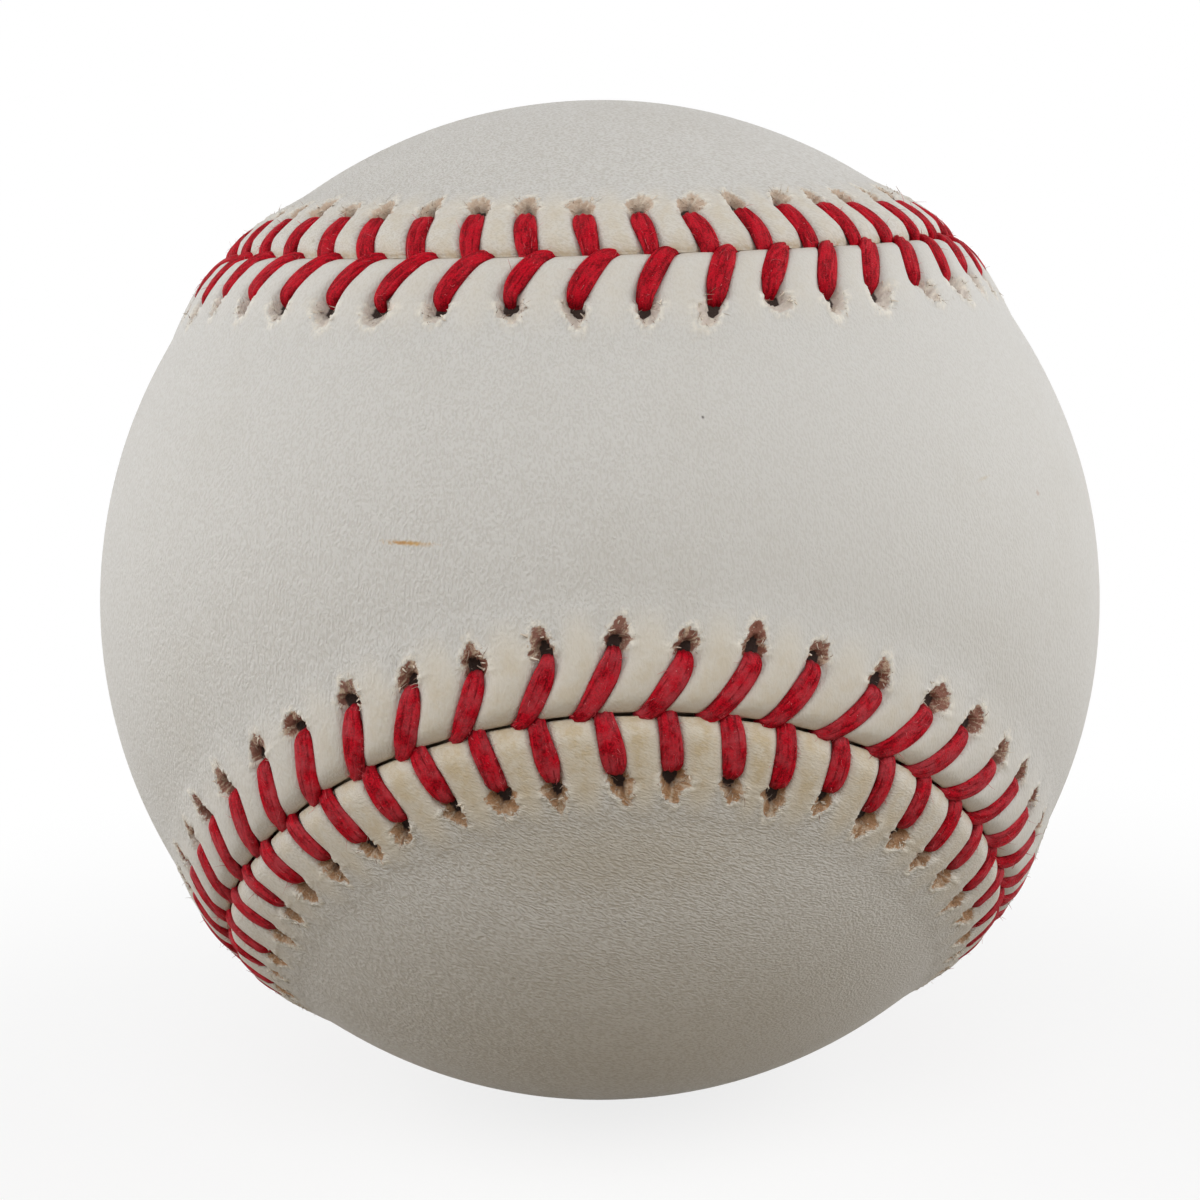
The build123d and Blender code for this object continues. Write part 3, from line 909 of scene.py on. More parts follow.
@dataclass
class StitchLegs:
    """The visible legs of one row of stitches: waxed three-strand thread pulled flat over the leather."""

    stitching: Stitching
    row: Row
    half_width: float = 0.69
    half_thickness: float = 0.35
    least_thickness: float = 0.82
    thickness_spread: float = 0.18
    hole_pinch: float = 0.28
    pinch_start: Span = (0.6, 1.0)
    squareness: float = 0.85
    strand_waves: float = 2.6
    strand_relief: float = 0.17
    strand_twist: float = 0.9
    slack: float = 0.05
    slack_waves: float = 9.0
    rings: int = 32
    sides: int = 20
    seed_shift: int = 100

    @property
    def lay(self) -> RowLay:
        """Return how this row lies."""
        return LAYS[self.row]

    def middle_lines(self) -> tuple[Array, Array, Array, Array]:
        """Return the legs' middle lines.

        Returns:
            Distances along the seam, distances from it, heights and width shares, each (legs, rings).
        """
        route = np.array(LEG_ROUTES[self.row])
        spot = np.linspace(0, len(route) - 1, self.rings)
        index = np.clip(spot.astype(int), 0, len(route) - 2)
        part = (spot - index)[:, None]
        ends = np.concatenate(([2 * route[0] - route[1]], route, [2 * route[-1] - route[-2]]))
        before, here, there, after = (ends[index + step] for step in range(4))
        bend = 2 * here + (there - before) * part
        bend += (2 * before - 5 * here + 4 * there - after) * part**2
        bend += (3 * here - before - 3 * there + after) * part**3
        ahead, share, beyond, height, width = (bend / 2).T
        station = np.arange(self.stitching.pairs, dtype=float)[:, None] + np.zeros_like(ahead)[None, :]
        aside = share * self.stitching.reach(self.row, station) + beyond
        along = self.stitching.along(self.row, station, np.maximum(aside, 0)) + ahead
        pinch = self.hole_pinch * self.stitching.own(self.row, "tone", station)
        own = self.stitching.own(self.row, "width", station) * (1 - pinch * smooth(*self.pinch_start, share))
        return along, aside, height + np.zeros_like(aside), width * own

    def axes(self) -> tuple[Array, Array, Array, Array]:
        """Return each ring's middle, its sideways axis, its upward axis and its width share."""
        along, aside, height, width = self.middle_lines()
        seam = self.stitching.seam
        middle = seam.place(along, self.lay.hand * aside, height)
        _, heading, left = seam.sample(along)
        ahead = np.gradient(along, axis=1)[..., None] * heading
        inward = np.gradient(aside, axis=1)[..., None] * left * self.lay.hand
        flat = unit(ahead + inward + 1e-6 * heading)
        sideways = unit(np.cross(unit(middle), flat))
        travel = unit(np.gradient(middle, axis=1))
        sideways = unit(sideways - travel * np.sum(sideways * travel, axis=-1, keepdims=True))
        return middle, sideways, np.cross(travel, sideways), width

    def squared(self, level: Array) -> Array:
        """Return parts of a circle pushed out towards a square."""
        return np.sign(level) * np.abs(level) ** self.squareness

    def build(self, finish: Material) -> Piece:
        """Build the row's legs.

        Args:
            finish: The thread's finish.

        Returns:
            The object that holds the legs.
        """
        surface = Surface()
        middle, sideways, upward, width = self.axes()
        turn = round_turn(self.sides)
        across, up = self.squared(np.cos(turn)), self.squared(np.sin(turn))
        way = np.linspace(0, 1, self.rings)[:, None]
        ends = [0, 0]
        draw = np.random.default_rng(self.lay.seed + self.seed_shift)
        for leg in range(self.stitching.pairs):
            phase = draw.uniform(0, 2 * math.pi)
            half = (self.half_width * width[leg])[:, None]
            share = self.least_thickness + self.thickness_spread * np.minimum(width[leg], 1)
            thick = self.half_thickness * share[:, None]
            twist = 2 * math.pi * self.strand_twist * way
            wave = np.cos(self.strand_waves * math.pi * across + phase + twist)
            lift = thick * up * (1 + self.strand_relief * wave - 0.5 * self.strand_relief)
            offset = half * across * (1 + self.slack * np.sin(self.slack_waves * way + phase))
            rings = middle[leg][:, None] + sideways[leg][:, None] * offset[..., None]
            rings = rings + upward[leg][:, None] * lift[..., None]
            points, faces = tube_parts(rings)
            steps = np.linalg.norm(np.diff(middle[leg], axis=0), axis=1)
            length = np.concatenate(([0], np.cumsum(steps)))
            surface.add(
                points,
                faces,
                across=np.concatenate((offset.ravel(), ends)),
                along=np.concatenate((np.repeat(length, self.sides), [length[0], length[-1]])),
                leg=np.full(len(points), draw.uniform(0, 1)),
                ridge=np.concatenate((wave.ravel(), ends)),
            )
        return surface.piece(f"{self.row.value}_stitch_legs", finish, "red_thread", "seam_thread")


@dataclass
class HiddenRuns:
    """The runs of thread under the leather, from each dive into the seam to the next hole across."""

    stitching: Stitching
    half_width: float = 0.45
    half_thickness: float = 0.19
    depth: float = -0.80
    end_rise: float = 0.1
    length: float = 5.0
    rings: int = 12
    sides: int = 8

    def build(self, finish: Material) -> Piece:
        """Build the hidden runs.

        Args:
            finish: The thread's finish.

        Returns:
            The object that holds the runs.
        """
        surface = Surface()
        share = np.linspace(0, 1, self.rings)
        height = self.depth + self.end_rise * np.abs(2 * share - 1) ** 6
        across = np.tile(self.half_width * np.cos(round_turn(self.sides)), self.rings)
        laid = {
            "across": np.concatenate((across, [0, 0])),
            "along": np.concatenate((np.repeat(share * self.length, self.sides), [0, self.length])),
        }
        for row, other in ((Row.FRONT, Row.REAR), (Row.REAR, Row.FRONT)):
            for index in range(self.stitching.pairs):
                first = np.array([float(index)])
                start = self.stitching.along(row, first, np.zeros(1))
                reach = self.stitching.reach(other, first + 1)
                stop = self.stitching.along(other, first + 1, reach)
                along = start + (stop - start) * share
                middle = self.stitching.seam.place(along, LAYS[other].hand * reach * share, height)
                travel = unit(np.gradient(middle, axis=0))
                sideways = unit(np.cross(unit(middle), travel))
                upward = np.cross(travel, sideways)
                rings = oval_rings(
                    middle, self.half_width * sideways, self.half_thickness * upward, self.sides
                )
                points, faces = tube_parts(rings)
                surface.add(points, faces, **laid, leg=np.full(len(points), index / self.stitching.pairs))
        return surface.piece("thread_under_leather", finish, "red_thread", "seam_thread")


@dataclass
class LooseFibres:
    """Fine loose fibres: hairs of the thread, and frayed leather round the awl holes."""

    stitching: Stitching
    sides: int = 4
    joints: int = 5
    thinning: float = 0.7
    roll: float = 0.31
    hair_seed: int = 77
    hair_count: tuple[int, int] = (12, 21)
    hair_end_rings: tuple[int, int] = (7, 6)
    hair_angle: Span = (0.1, 1.4)
    hair_root: Span = (0.93, 0.9)
    hair_stand: float = 0.5
    hair_lean: float = 0.8
    hair_stray: float = 0.3
    hair_curl: float = 0.35
    hair_length: Span = (0.18, 0.62)
    hair_radius: Span = (0.012, 0.024)
    droop: float = 0.25
    fray_seed_shift: int = 300
    fray_count: int = 34
    fray_turn: Span = (-0.35 * math.pi, 1.35 * math.pi)
    fray_out: Span = (0.45, 1.15)
    fray_sink: float = 0.04
    fray_ways: Span = (0.35, 0.65)
    fray_stand: float = 0.28
    fray_stray: float = 0.38
    fray_curl: float = 0.3
    flake_count: int = 11
    flake_length: Span = (0.16, 0.38)
    flake_radius: Span = (0.022, 0.036)
    flake_flatness: Span = (2.0, 4.2)
    flake_tone: Span = (0.5, 1.0)
    fibre_length: Span = (0.15, 0.55)
    fibre_radius: Span = (0.014, 0.034)
    fibre_tone: Span = (0.0, 0.8)

    def strand(
        self,
        surface: Surface,
        start: Array,
        way: Array,
        sag: Array,
        size: tuple[float, float, float],
        tone: float,
    ) -> None:
        """Add one bent fibre that thins towards its tip.

        Args:
            surface: Where it goes.
            start: Its root.
            way: Direction at the root, of length one.
            sag: Direction that it bends towards.
            size: Length, root radius and how many times wider than thick.
            tone: Value that its finish reads.
        """
        length, radius, flatness = size
        share = np.linspace(0, 1, self.joints)[:, None]
        middle = start + way * (length * share) + sag * (length * share**2)
        travel = unit(np.gradient(middle, axis=0))
        aside = unit(np.cross(travel, unit(start[None, :]) + self.roll * sag))
        upward = np.cross(travel, aside)
        thin = radius * (1 - self.thinning * share)
        points, faces = tube_parts(oval_rings(middle, aside * thin * flatness, upward * thin, self.sides))
        surface.add(points, faces, tone=np.full(len(points), tone))

    def thread_hairs(self, finish: Material, legs: list[StitchLegs]) -> Piece:
        """Build the red hairs that stand off the stitch legs.

        Args:
            finish: The hairs' finish.
            legs: The rows of legs that they stand on.

        Returns:
            The object that holds the hairs.
        """
        surface = Surface()
        draw = np.random.default_rng(self.hair_seed)
        wide, thick = self.hair_root
        near_end, far_end = self.hair_end_rings
        for row in legs:
            middle, sideways, upward, width = row.axes()
            for leg in range(self.stitching.pairs):
                for _ in range(draw.integers(*self.hair_count)):
                    ring = draw.integers(near_end, row.rings - far_end)
                    side = draw.choice((-1.0, 1.0))
                    angle = draw.uniform(*self.hair_angle)
                    aside, up = side * sideways[leg, ring], upward[leg, ring]
                    out = aside * math.cos(angle) + up * math.sin(angle)
                    root = middle[leg, ring] + aside * (
                        row.half_width * width[leg, ring] * math.cos(angle) * wide
                    ) + up * (row.half_thickness * math.sin(angle) * thick)
                    travel = unit(middle[leg, ring + 1] - middle[leg, ring - 1])
                    way = self.hair_stand * out + travel * draw.normal(0, self.hair_lean)
                    way = unit(way + self.hair_stray * draw.normal(0, 1, 3))
                    sag = self.hair_curl * draw.normal(0, 1, 3) - self.droop * up
                    size = (draw.uniform(*self.hair_length), draw.uniform(*self.hair_radius), 1.0)
                    self.strand(surface, root, way, sag, size, draw.uniform(0, 1))
        return surface.piece("thread_hairs", finish, "red_thread", "seam_thread")

    def hole_fray(self, finish: Material, panel: CoverPanel) -> Piece:
        """Build the torn leather fibres round one panel's holes.

        Args:
            finish: The fibres' finish.
            panel: The panel that they grow from.

        Returns:
            The object that holds the fibres.
        """
        surface = Surface()
        lay = panel.lay
        seam = self.stitching.seam
        count = self.fray_count
        draw = np.random.default_rng(lay.seed + self.fray_seed_shift)
        for station in range(self.stitching.pairs):
            share = np.full(count, float(station))
            length, gape, skew, lean = self.stitching.tear_shape(panel.row, share)
            turn = draw.uniform(*self.fray_turn, count)
            out_by = np.sqrt(draw.uniform(*self.fray_out, count))
            past = panel.tear_past + np.sin(turn) * out_by * lay.tear_half_length * length
            offset = np.cos(turn) * out_by * lay.tear_half_width * gape + lean - skew * np.maximum(past, 0)
            aside = self.stitching.reach(panel.row, share) + past
            along = self.stitching.along(panel.row, share, aside) + offset
            flat = seam.place(along, lay.hand * aside, np.zeros(count))
            rise, _ = panel.height(share + offset / self.stitching.pitch, aside - panel.gap_half_width, flat)
            _, heading, left = seam.sample(along)
            for one in range(count):
                root = flat[one] * (1 + (rise[one] - self.fray_sink) / seam.ball_radius)
                up = unit(flat[one])
                out = heading[one] * math.cos(turn[one]) + left[one] * lay.hand * math.sin(turn[one])
                inward = draw.choice((-1.0, 1.0), p=self.fray_ways)
                way = unit(inward * out + self.fray_stand * up + self.fray_stray * draw.normal(0, 1, 3))
                sag = self.fray_curl * draw.normal(0, 1, 3) - self.droop * up
                flake = (self.flake_length, self.flake_radius, self.flake_flatness)
                size, tone = tuple(draw.uniform(*span) for span in flake), self.flake_tone
                if one >= self.flake_count:
                    size = (draw.uniform(*self.fibre_length), draw.uniform(*self.fibre_radius), 1.0)
                    tone = self.fibre_tone
                self.strand(surface, root, way, sag, size, draw.uniform(*tone))
        return surface.piece(f"{panel.row.value}_hole_fray", finish, "cover_leather", lay.panel)


@dataclass
class YarnWinding:
    """One wound layer of yarn: crossing turns laid over each other round the ball."""

    node: str
    slot: str
    inner_radius: float
    outer_radius: float
    yarn_width: float
    turns: int
    seed: int
    divisions: int = 7
    lap_rise: float = 0.45
    yarn_share: float = 0.5
    layer_share: float = 0.35
    streak_length: float = 30.0

    def build(self, finish: Material) -> Piece:
        """Build the layer with the relief of its outermost turns.

        Args:
            finish: The yarn's finish.

        Returns:
            The layer's object.
        """
        ball = bmesh.new()
        bmesh.ops.create_icosphere(ball, subdivisions=self.divisions, radius=1.0)
        ball.verts.ensure_lookup_table()
        directions = unit(np.array([vertex.co for vertex in ball.verts]))
        faces = np.array([[vertex.index for vertex in face.verts] for face in ball.faces])
        ball.free()
        draw = np.random.default_rng(self.seed)
        poles = unit(draw.normal(0, 1, (self.turns, 3)))
        best = np.full(len(directions), -1.0)
        across = np.zeros(len(directions))
        strand = np.zeros(len(directions))
        half = self.yarn_width / 2
        for turn, pole in enumerate(poles):
            away = np.arcsin(np.clip(directions @ pole, -1, 1)) * self.outer_radius
            level = turn / self.turns
            round_top = np.sqrt(np.maximum(1 - (away / half) ** 2, 0))
            rise = np.where(np.abs(away) < half, self.lap_rise * level + round_top, -1)
            over = rise > best
            best[over] = rise[over]
            across[over] = away[over]
            strand[over] = level
        relief = np.clip(best, 0, None) / max(best.max(), 1e-6)
        depth = min(self.yarn_share * half, self.layer_share * (self.outer_radius - self.inner_radius))
        radius = self.outer_radius - depth * (1 - relief)
        along = directions[:, 0] * self.streak_length
        surface = Surface()
        surface.add(directions * radius[:, None], faces, across=across, leg=strand, along=along)
        surface.add(directions * self.inner_radius, faces[:, ::-1])
        return surface.piece(f"{self.node}_yarn", finish, self.slot, self.node)


class Graph:
    """Short ways to place and join shader nodes."""

    def __init__(self, tree: Tree) -> None:
        """Work on one node tree."""
        self.tree = tree

    def node(self, kind: str, inputs: Optional[dict[Key, Feed]] = None, **settings: object) -> Node:
        """Place a node.

        Args:
            kind: Blender's name for it, without ShaderNode.
            inputs: What to feed its inputs, by name or number.
            settings: Its options.

        Returns:
            The new node.
        """
        made = self.tree.nodes.new(f"ShaderNode{kind}")
        for name, value in settings.items():
            setattr(made, name, value)
        for key, value in (inputs or {}).items():
            self.feed(made.inputs[key], value)
        return made

    def feed(self, socket: Socket, value: Feed) -> None:
        """Join a socket to another, or set its value."""
        if isinstance(value, Socket):
            self.tree.links.new(value, socket)
        elif isinstance(value, tuple) and socket.type == "RGBA":
            socket.default_value = (*value, 1.0)
        else:
            socket.default_value = value

    def maths(self, kind: str, first: Feed, second: Feed = 0.0, clamp: bool = False) -> Socket:
        """Return the result of one sum on two values."""
        return self.node("Math", {0: first, 1: second}, operation=kind, use_clamp=clamp).outputs[0]

    def times(self, first: Feed, *others: Feed) -> Socket:
        """Return the product of values."""
        for other in others:
            first = self.maths("MULTIPLY", first, other)
        return first

    def plus(self, first: Feed, second: Feed) -> Socket:
        """Return the sum of two values."""
        return self.maths("ADD", first, second)

    def minus(self, first: Feed, second: Feed) -> Socket:
        """Return the difference of two values."""
        return self.maths("SUBTRACT", first, second)

    def square(self, value: Feed) -> Socket:
        """Return a value times itself."""
        return self.maths("POWER", value, 2.0)

    def size(self, value: Feed) -> Socket:
        """Return a value without its sign."""
        return self.maths("ABSOLUTE", value)

    def vectors(self, kind: str, first: Feed, second: Feed) -> Socket:
        """Return the vector that one sum on vectors gives, with a plain second value to scale by."""
        key = "Scale" if kind == "SCALE" else 1
        return self.node("VectorMath", {0: first, key: second}, operation=kind).outputs["Vector"]

    def dot(self, first: Feed, second: Feed) -> Socket:
        """Return the dot product of two vectors."""
        made = self.node("VectorMath", {0: first, 1: second}, operation="DOT_PRODUCT")
        return made.outputs["Value"]

    def length(self, vector: Feed) -> Socket:
        """Return the length of a vector."""
        return self.node("VectorMath", {0: vector}, operation="LENGTH").outputs["Value"]

    def split(self, vector: Feed) -> Sockets:
        """Return the parts X, Y and Z of a vector."""
        return self.node("SeparateXYZ", {0: vector}).outputs

    def ramp(
        self, value: Feed, low: float, high: float, start: float = 0.0, end: float = 1.0
    ) -> Socket:
        """Return an eased ramp of a value, from start at low to end at high."""
        inputs = {"Value": value, "From Min": low, "From Max": high, "To Min": start, "To Max": end}
        return self.node("MapRange", inputs, interpolation_type="SMOOTHSTEP").outputs["Result"]

    def blend(self, share: Feed, first: Feed, second: Feed) -> Socket:
        """Return a mix of two colours."""
        inputs = {0: share, 6: first, 7: second}
        return self.node("Mix", inputs, data_type="RGBA", clamp_factor=True).outputs[2]

    def either(self, share: Feed, first: Feed, second: Feed) -> Socket:
        """Return a mix of two shaders."""
        return self.node("MixShader", {0: share, 1: first, 2: second}).outputs[0]

    def noise(self, place: Feed, scale: Feed, detail: float, roughness: float = 0.5) -> Sockets:
        """Return soft noise with a scale given as ripples to a metre."""
        inputs = {"Vector": place, "Scale": scale, "Detail": detail, "Roughness": roughness}
        return self.node("TexNoise", inputs, noise_dimensions="3D").outputs

    def cloud(self, place: Feed, size: float, detail: float, roughness: float = 0.55) -> Socket:
        """Return soft noise with ripples of a width in millimetres."""
        return self.noise(place, 1 / (size * MM), detail, roughness)["Fac"]

    def cells(self, place: Feed, scale: Feed) -> tuple[Socket, Sockets]:
        """Return the distance from the middle of each random cell, and random values of the cell's own."""
        made = self.node("TexVoronoi", {"Vector": place, "Scale": scale}, feature="F1").outputs
        return made["Distance"], self.node("SeparateColor", {0: made["Color"]}).outputs

    def value_of(self, name: str) -> Socket:
        """Return a named value of the mesh's points."""
        return self.node("Attribute", attribute_type="GEOMETRY", attribute_name=name).outputs["Fac"]

    def place(self) -> Socket:
        """Return the place on the ball."""
        return self.node("TexCoord").outputs["Object"]

    def group(self, tree: Tree, **values: Feed) -> Sockets:
        """Place a node group, feed its inputs and return its outputs."""
        inputs = {name.capitalize(): value for name, value in values.items()}
        return self.node("Group", inputs, node_tree=tree).outputs


class Effects:
    """Node groups shared by the finishes, each built once."""

    def __init__(self) -> None:
        """Build every group."""
        self.grain = self.leather_grain()
        self.soil = self.soiling()
        self.strands = self.strand_streaks()
        self.stain = self.stain_spot()

    def start(
        self, name: str, outputs: tuple[str, ...], **inputs: Optional[Union[float, Colour]]
    ) -> tuple[Graph, Sockets, Sockets]:
        """Start a group.

        Args:
            name: Name of the group.
            outputs: Names of its outputs, which are plain values.
            inputs: Its inputs: a number is a plain value's default, and the rest are vectors.

        Returns:
            The group's graph, its inputs and its outputs by name.
        """
        tree = bpy.data.node_groups.new(name, "ShaderNodeTree")
        for title, default in inputs.items():
            kind = "NodeSocketFloat" if isinstance(default, float) else "NodeSocketVector"
            socket = tree.interface.new_socket(title.capitalize(), in_out="INPUT", socket_type=kind)
            if default is not None:
                socket.default_value = default
        for title in outputs:
            tree.interface.new_socket(title, in_out="OUTPUT", socket_type="NodeSocketFloat")
        return Graph(tree), tree.nodes.new("NodeGroupInput").outputs, tree.nodes.new("NodeGroupOutput").inputs

    def leather_grain(self) -> Tree:
        """Return the fine pebbled grain of tanned leather, drawn out along one direction."""
        graph, into, out = self.start(
            "leather_grain", ("Height", "Crease"),
            place=None, scale=7000.0, warp=0.1, along=(0.0, 0.0, 1.0), stretch=1.0,
        )
        run = graph.dot(into["Place"], into["Along"])
        shorter = graph.minus(graph.maths("DIVIDE", 1.0, into["Stretch"]), 1.0)
        back = graph.vectors("SCALE", into["Along"], graph.times(run, shorter))
        drawn = graph.vectors("ADD", into["Place"], back)
        bend = graph.noise(into["Place"], 420.0, 1.0)["Color"]
        shift = graph.vectors("SCALE", bend, graph.times(into["Warp"], 4 * MM))
        pebbles = graph.noise(graph.vectors("ADD", drawn, shift), into["Scale"], 1.0)["Fac"]
        pores = graph.noise(drawn, graph.times(into["Scale"], 0.6), 2.0)["Fac"]
        height = graph.plus(graph.times(graph.ramp(pebbles, 0.28, 0.72), 0.7), graph.times(pores, 0.3))
        graph.feed(out["Height"], height)
        graph.feed(out["Crease"], graph.ramp(height, 0.32, 0.52, 1.0, 0.0))
        return graph.tree

    def soiling(self) -> Tree:
        """Return soft patches of handling dirt, and rare small specks."""
        graph, into, out = self.start("soiling", ("Patches", "Specks"), place=None, scale=90.0, cover=0.5)
        patch = graph.noise(into["Place"], into["Scale"], 5.0, 0.62)["Fac"]
        low = graph.minus(0.78, graph.times(into["Cover"], 0.5))
        graph.feed(out["Patches"], graph.maths("MULTIPLY", graph.minus(patch, low), 3.2, clamp=True))
        away, own = graph.cells(into["Place"], graph.times(into["Scale"], 4.5))
        rare = graph.ramp(own[0], 0.93, 0.96)
        graph.feed(out["Specks"], graph.times(rare, graph.ramp(away, 0.03, 0.10, 1.0, 0.0)))
        return graph.tree

    def strand_streaks(self) -> Tree:
        """Return fibres that run along a thread or yarn."""
        graph, into, out = self.start(
            "strand_streaks", ("Height", "Shade"), across=0.0, along=0.0, strand=0.0, width=0.1
        )
        lean = graph.plus(into["Across"], graph.times(into["Along"], 0.10))
        across = graph.maths("DIVIDE", lean, into["Width"])
        parts = {0: across, 1: graph.times(into["Along"], 2.0), 2: graph.times(into["Strand"], 57.0)}
        spot = graph.node("CombineXYZ", parts).outputs[0]
        hair = graph.noise(spot, 1.0, 3.0, 0.6)["Fac"]
        wide = graph.noise(spot, 0.33, 1.0)["Fac"]
        graph.feed(out["Height"], graph.plus(hair, wide))
        fine = graph.times(graph.ramp(hair, 0.35, 0.65), 0.4)
        graph.feed(out["Shade"], graph.plus(fine, graph.times(graph.ramp(wide, 0.4, 0.6), 0.6)))
        return graph.tree

    def stain_spot(self) -> Tree:
        """Return one soft-edged mark at a place on the leather."""
        graph, into, out = self.start(
            "stain_spot", ("Mask",), place=None, centre=None, along=None, length=1.0, breadth=0.3
        )
        away = graph.vectors("SUBTRACT", into["Place"], into["Centre"])
        run = graph.size(graph.dot(away, into["Along"]))
        aside = graph.minus(graph.square(graph.length(away)), graph.square(run))
        aside = graph.maths("SQRT", graph.maths("MAXIMUM", aside, 0.0))
        far = graph.square(graph.maths("DIVIDE", run, into["Length"]))
        far = graph.plus(far, graph.square(graph.maths("DIVIDE", aside, into["Breadth"])))
        rough = graph.times(graph.cloud(into["Place"], 0.3, 4.0, 0.75), 2.0)
        edge = graph.plus(graph.maths("SQRT", far), rough)
        graph.feed(out["Mask"], graph.ramp(edge, 1.05, 2.1, 1.0, 0.0))
        return graph.tree

    def streaks_on(self, graph: Graph, width: float) -> Sockets:
        """Place the streaks of a thread or yarn whose points say where they lie on it."""
        own = {"across": "across", "along": "along", "strand": "leg"}
        laid = {name: graph.value_of(value) for name, value in own.items()}
        return graph.group(self.strands, **laid, width=width)


class Finish:
    """Base of the finishes: a material with one principled shader."""

    name: str

    def open(self) -> tuple[Graph, Node, Material]:
        """Return the new material's graph, its shader and itself."""
        material = bpy.data.materials.new(self.name)
        material.use_nodes = True
        return Graph(material.node_tree), material.node_tree.nodes["Principled BSDF"], material

    def coat(self, graph: Graph, shader: Node, colour: Feed, roughness: Feed) -> None:
        """Give the shader its colour and roughness."""
        graph.feed(shader.inputs["Base Color"], colour)
        graph.feed(shader.inputs["Roughness"], roughness)

    def bump(self, graph: Graph, shader: Node, height: Feed, depth: float, share: Feed = 1.0) -> None:
        """Give the shader a share of a relief whose depth is in millimetres."""
        inputs = {"Distance": depth * MM, "Strength": share, "Height": height}
        graph.feed(shader.inputs["Normal"], graph.node("Bump", inputs).outputs["Normal"])


@dataclass(frozen=True)
class Stain:
    """One mark on the leather.

    Attributes:
        centre: Direction from the centre of the ball.
        along: Direction that the mark runs in.
        length: Half its length in millimetres.
        breadth: Half its breadth in millimetres.
        colour: Its colour.
        strength: Its strongest cover.
    """

    centre: Colour
    along: Colour
    length: float
    breadth: float
    colour: Colour
    strength: float


STAINS: tuple[Stain, ...] = (
    Stain((-0.336, -0.914, 0.2261), (0.94, -0.34, -0.05), 2.0, 0.21, (0.52, 0.30, 0.08), 0.9),
    Stain((-0.345, -0.910, 0.2261), (0.94, -0.34, -0.08), 0.8, 0.14, (0.40, 0.18, 0.035), 0.7),
    Stain((0.7597, -0.6018, 0.2464), (0.6, 0.75, 0.0), 0.32, 0.26, (0.44, 0.30, 0.23), 0.6),
    Stain((0.6409, -0.7128, 0.285), (0.7, 0.6, 0.2), 0.9, 0.16, (0.50, 0.40, 0.26), 0.4),
    Stain((0.144, -0.8994, 0.4126), (0.0, 0.4, 0.9), 0.14, 0.12, (0.05, 0.04, 0.035), 0.8),
    Stain((0.0256, -0.7741, 0.6325), (1.0, 0.0, 0.0), 0.7, 0.22, (0.20, 0.19, 0.18), 0.45),
    Stain((-0.425, -0.887, -0.1815), (0.9, -0.43, 0.05), 0.9, 0.08, (0.50, 0.16, 0.15), 0.4),
    Stain((-0.0032, -0.9101, -0.4144), (0.6, 0.0, -0.5), 0.13, 0.11, (0.06, 0.05, 0.045), 0.7),
    Stain((-0.02, -0.955, -0.29), (1.0, 0.0, 0.0), 14.0, 4.2, (0.40, 0.345, 0.255), 0.45),
)


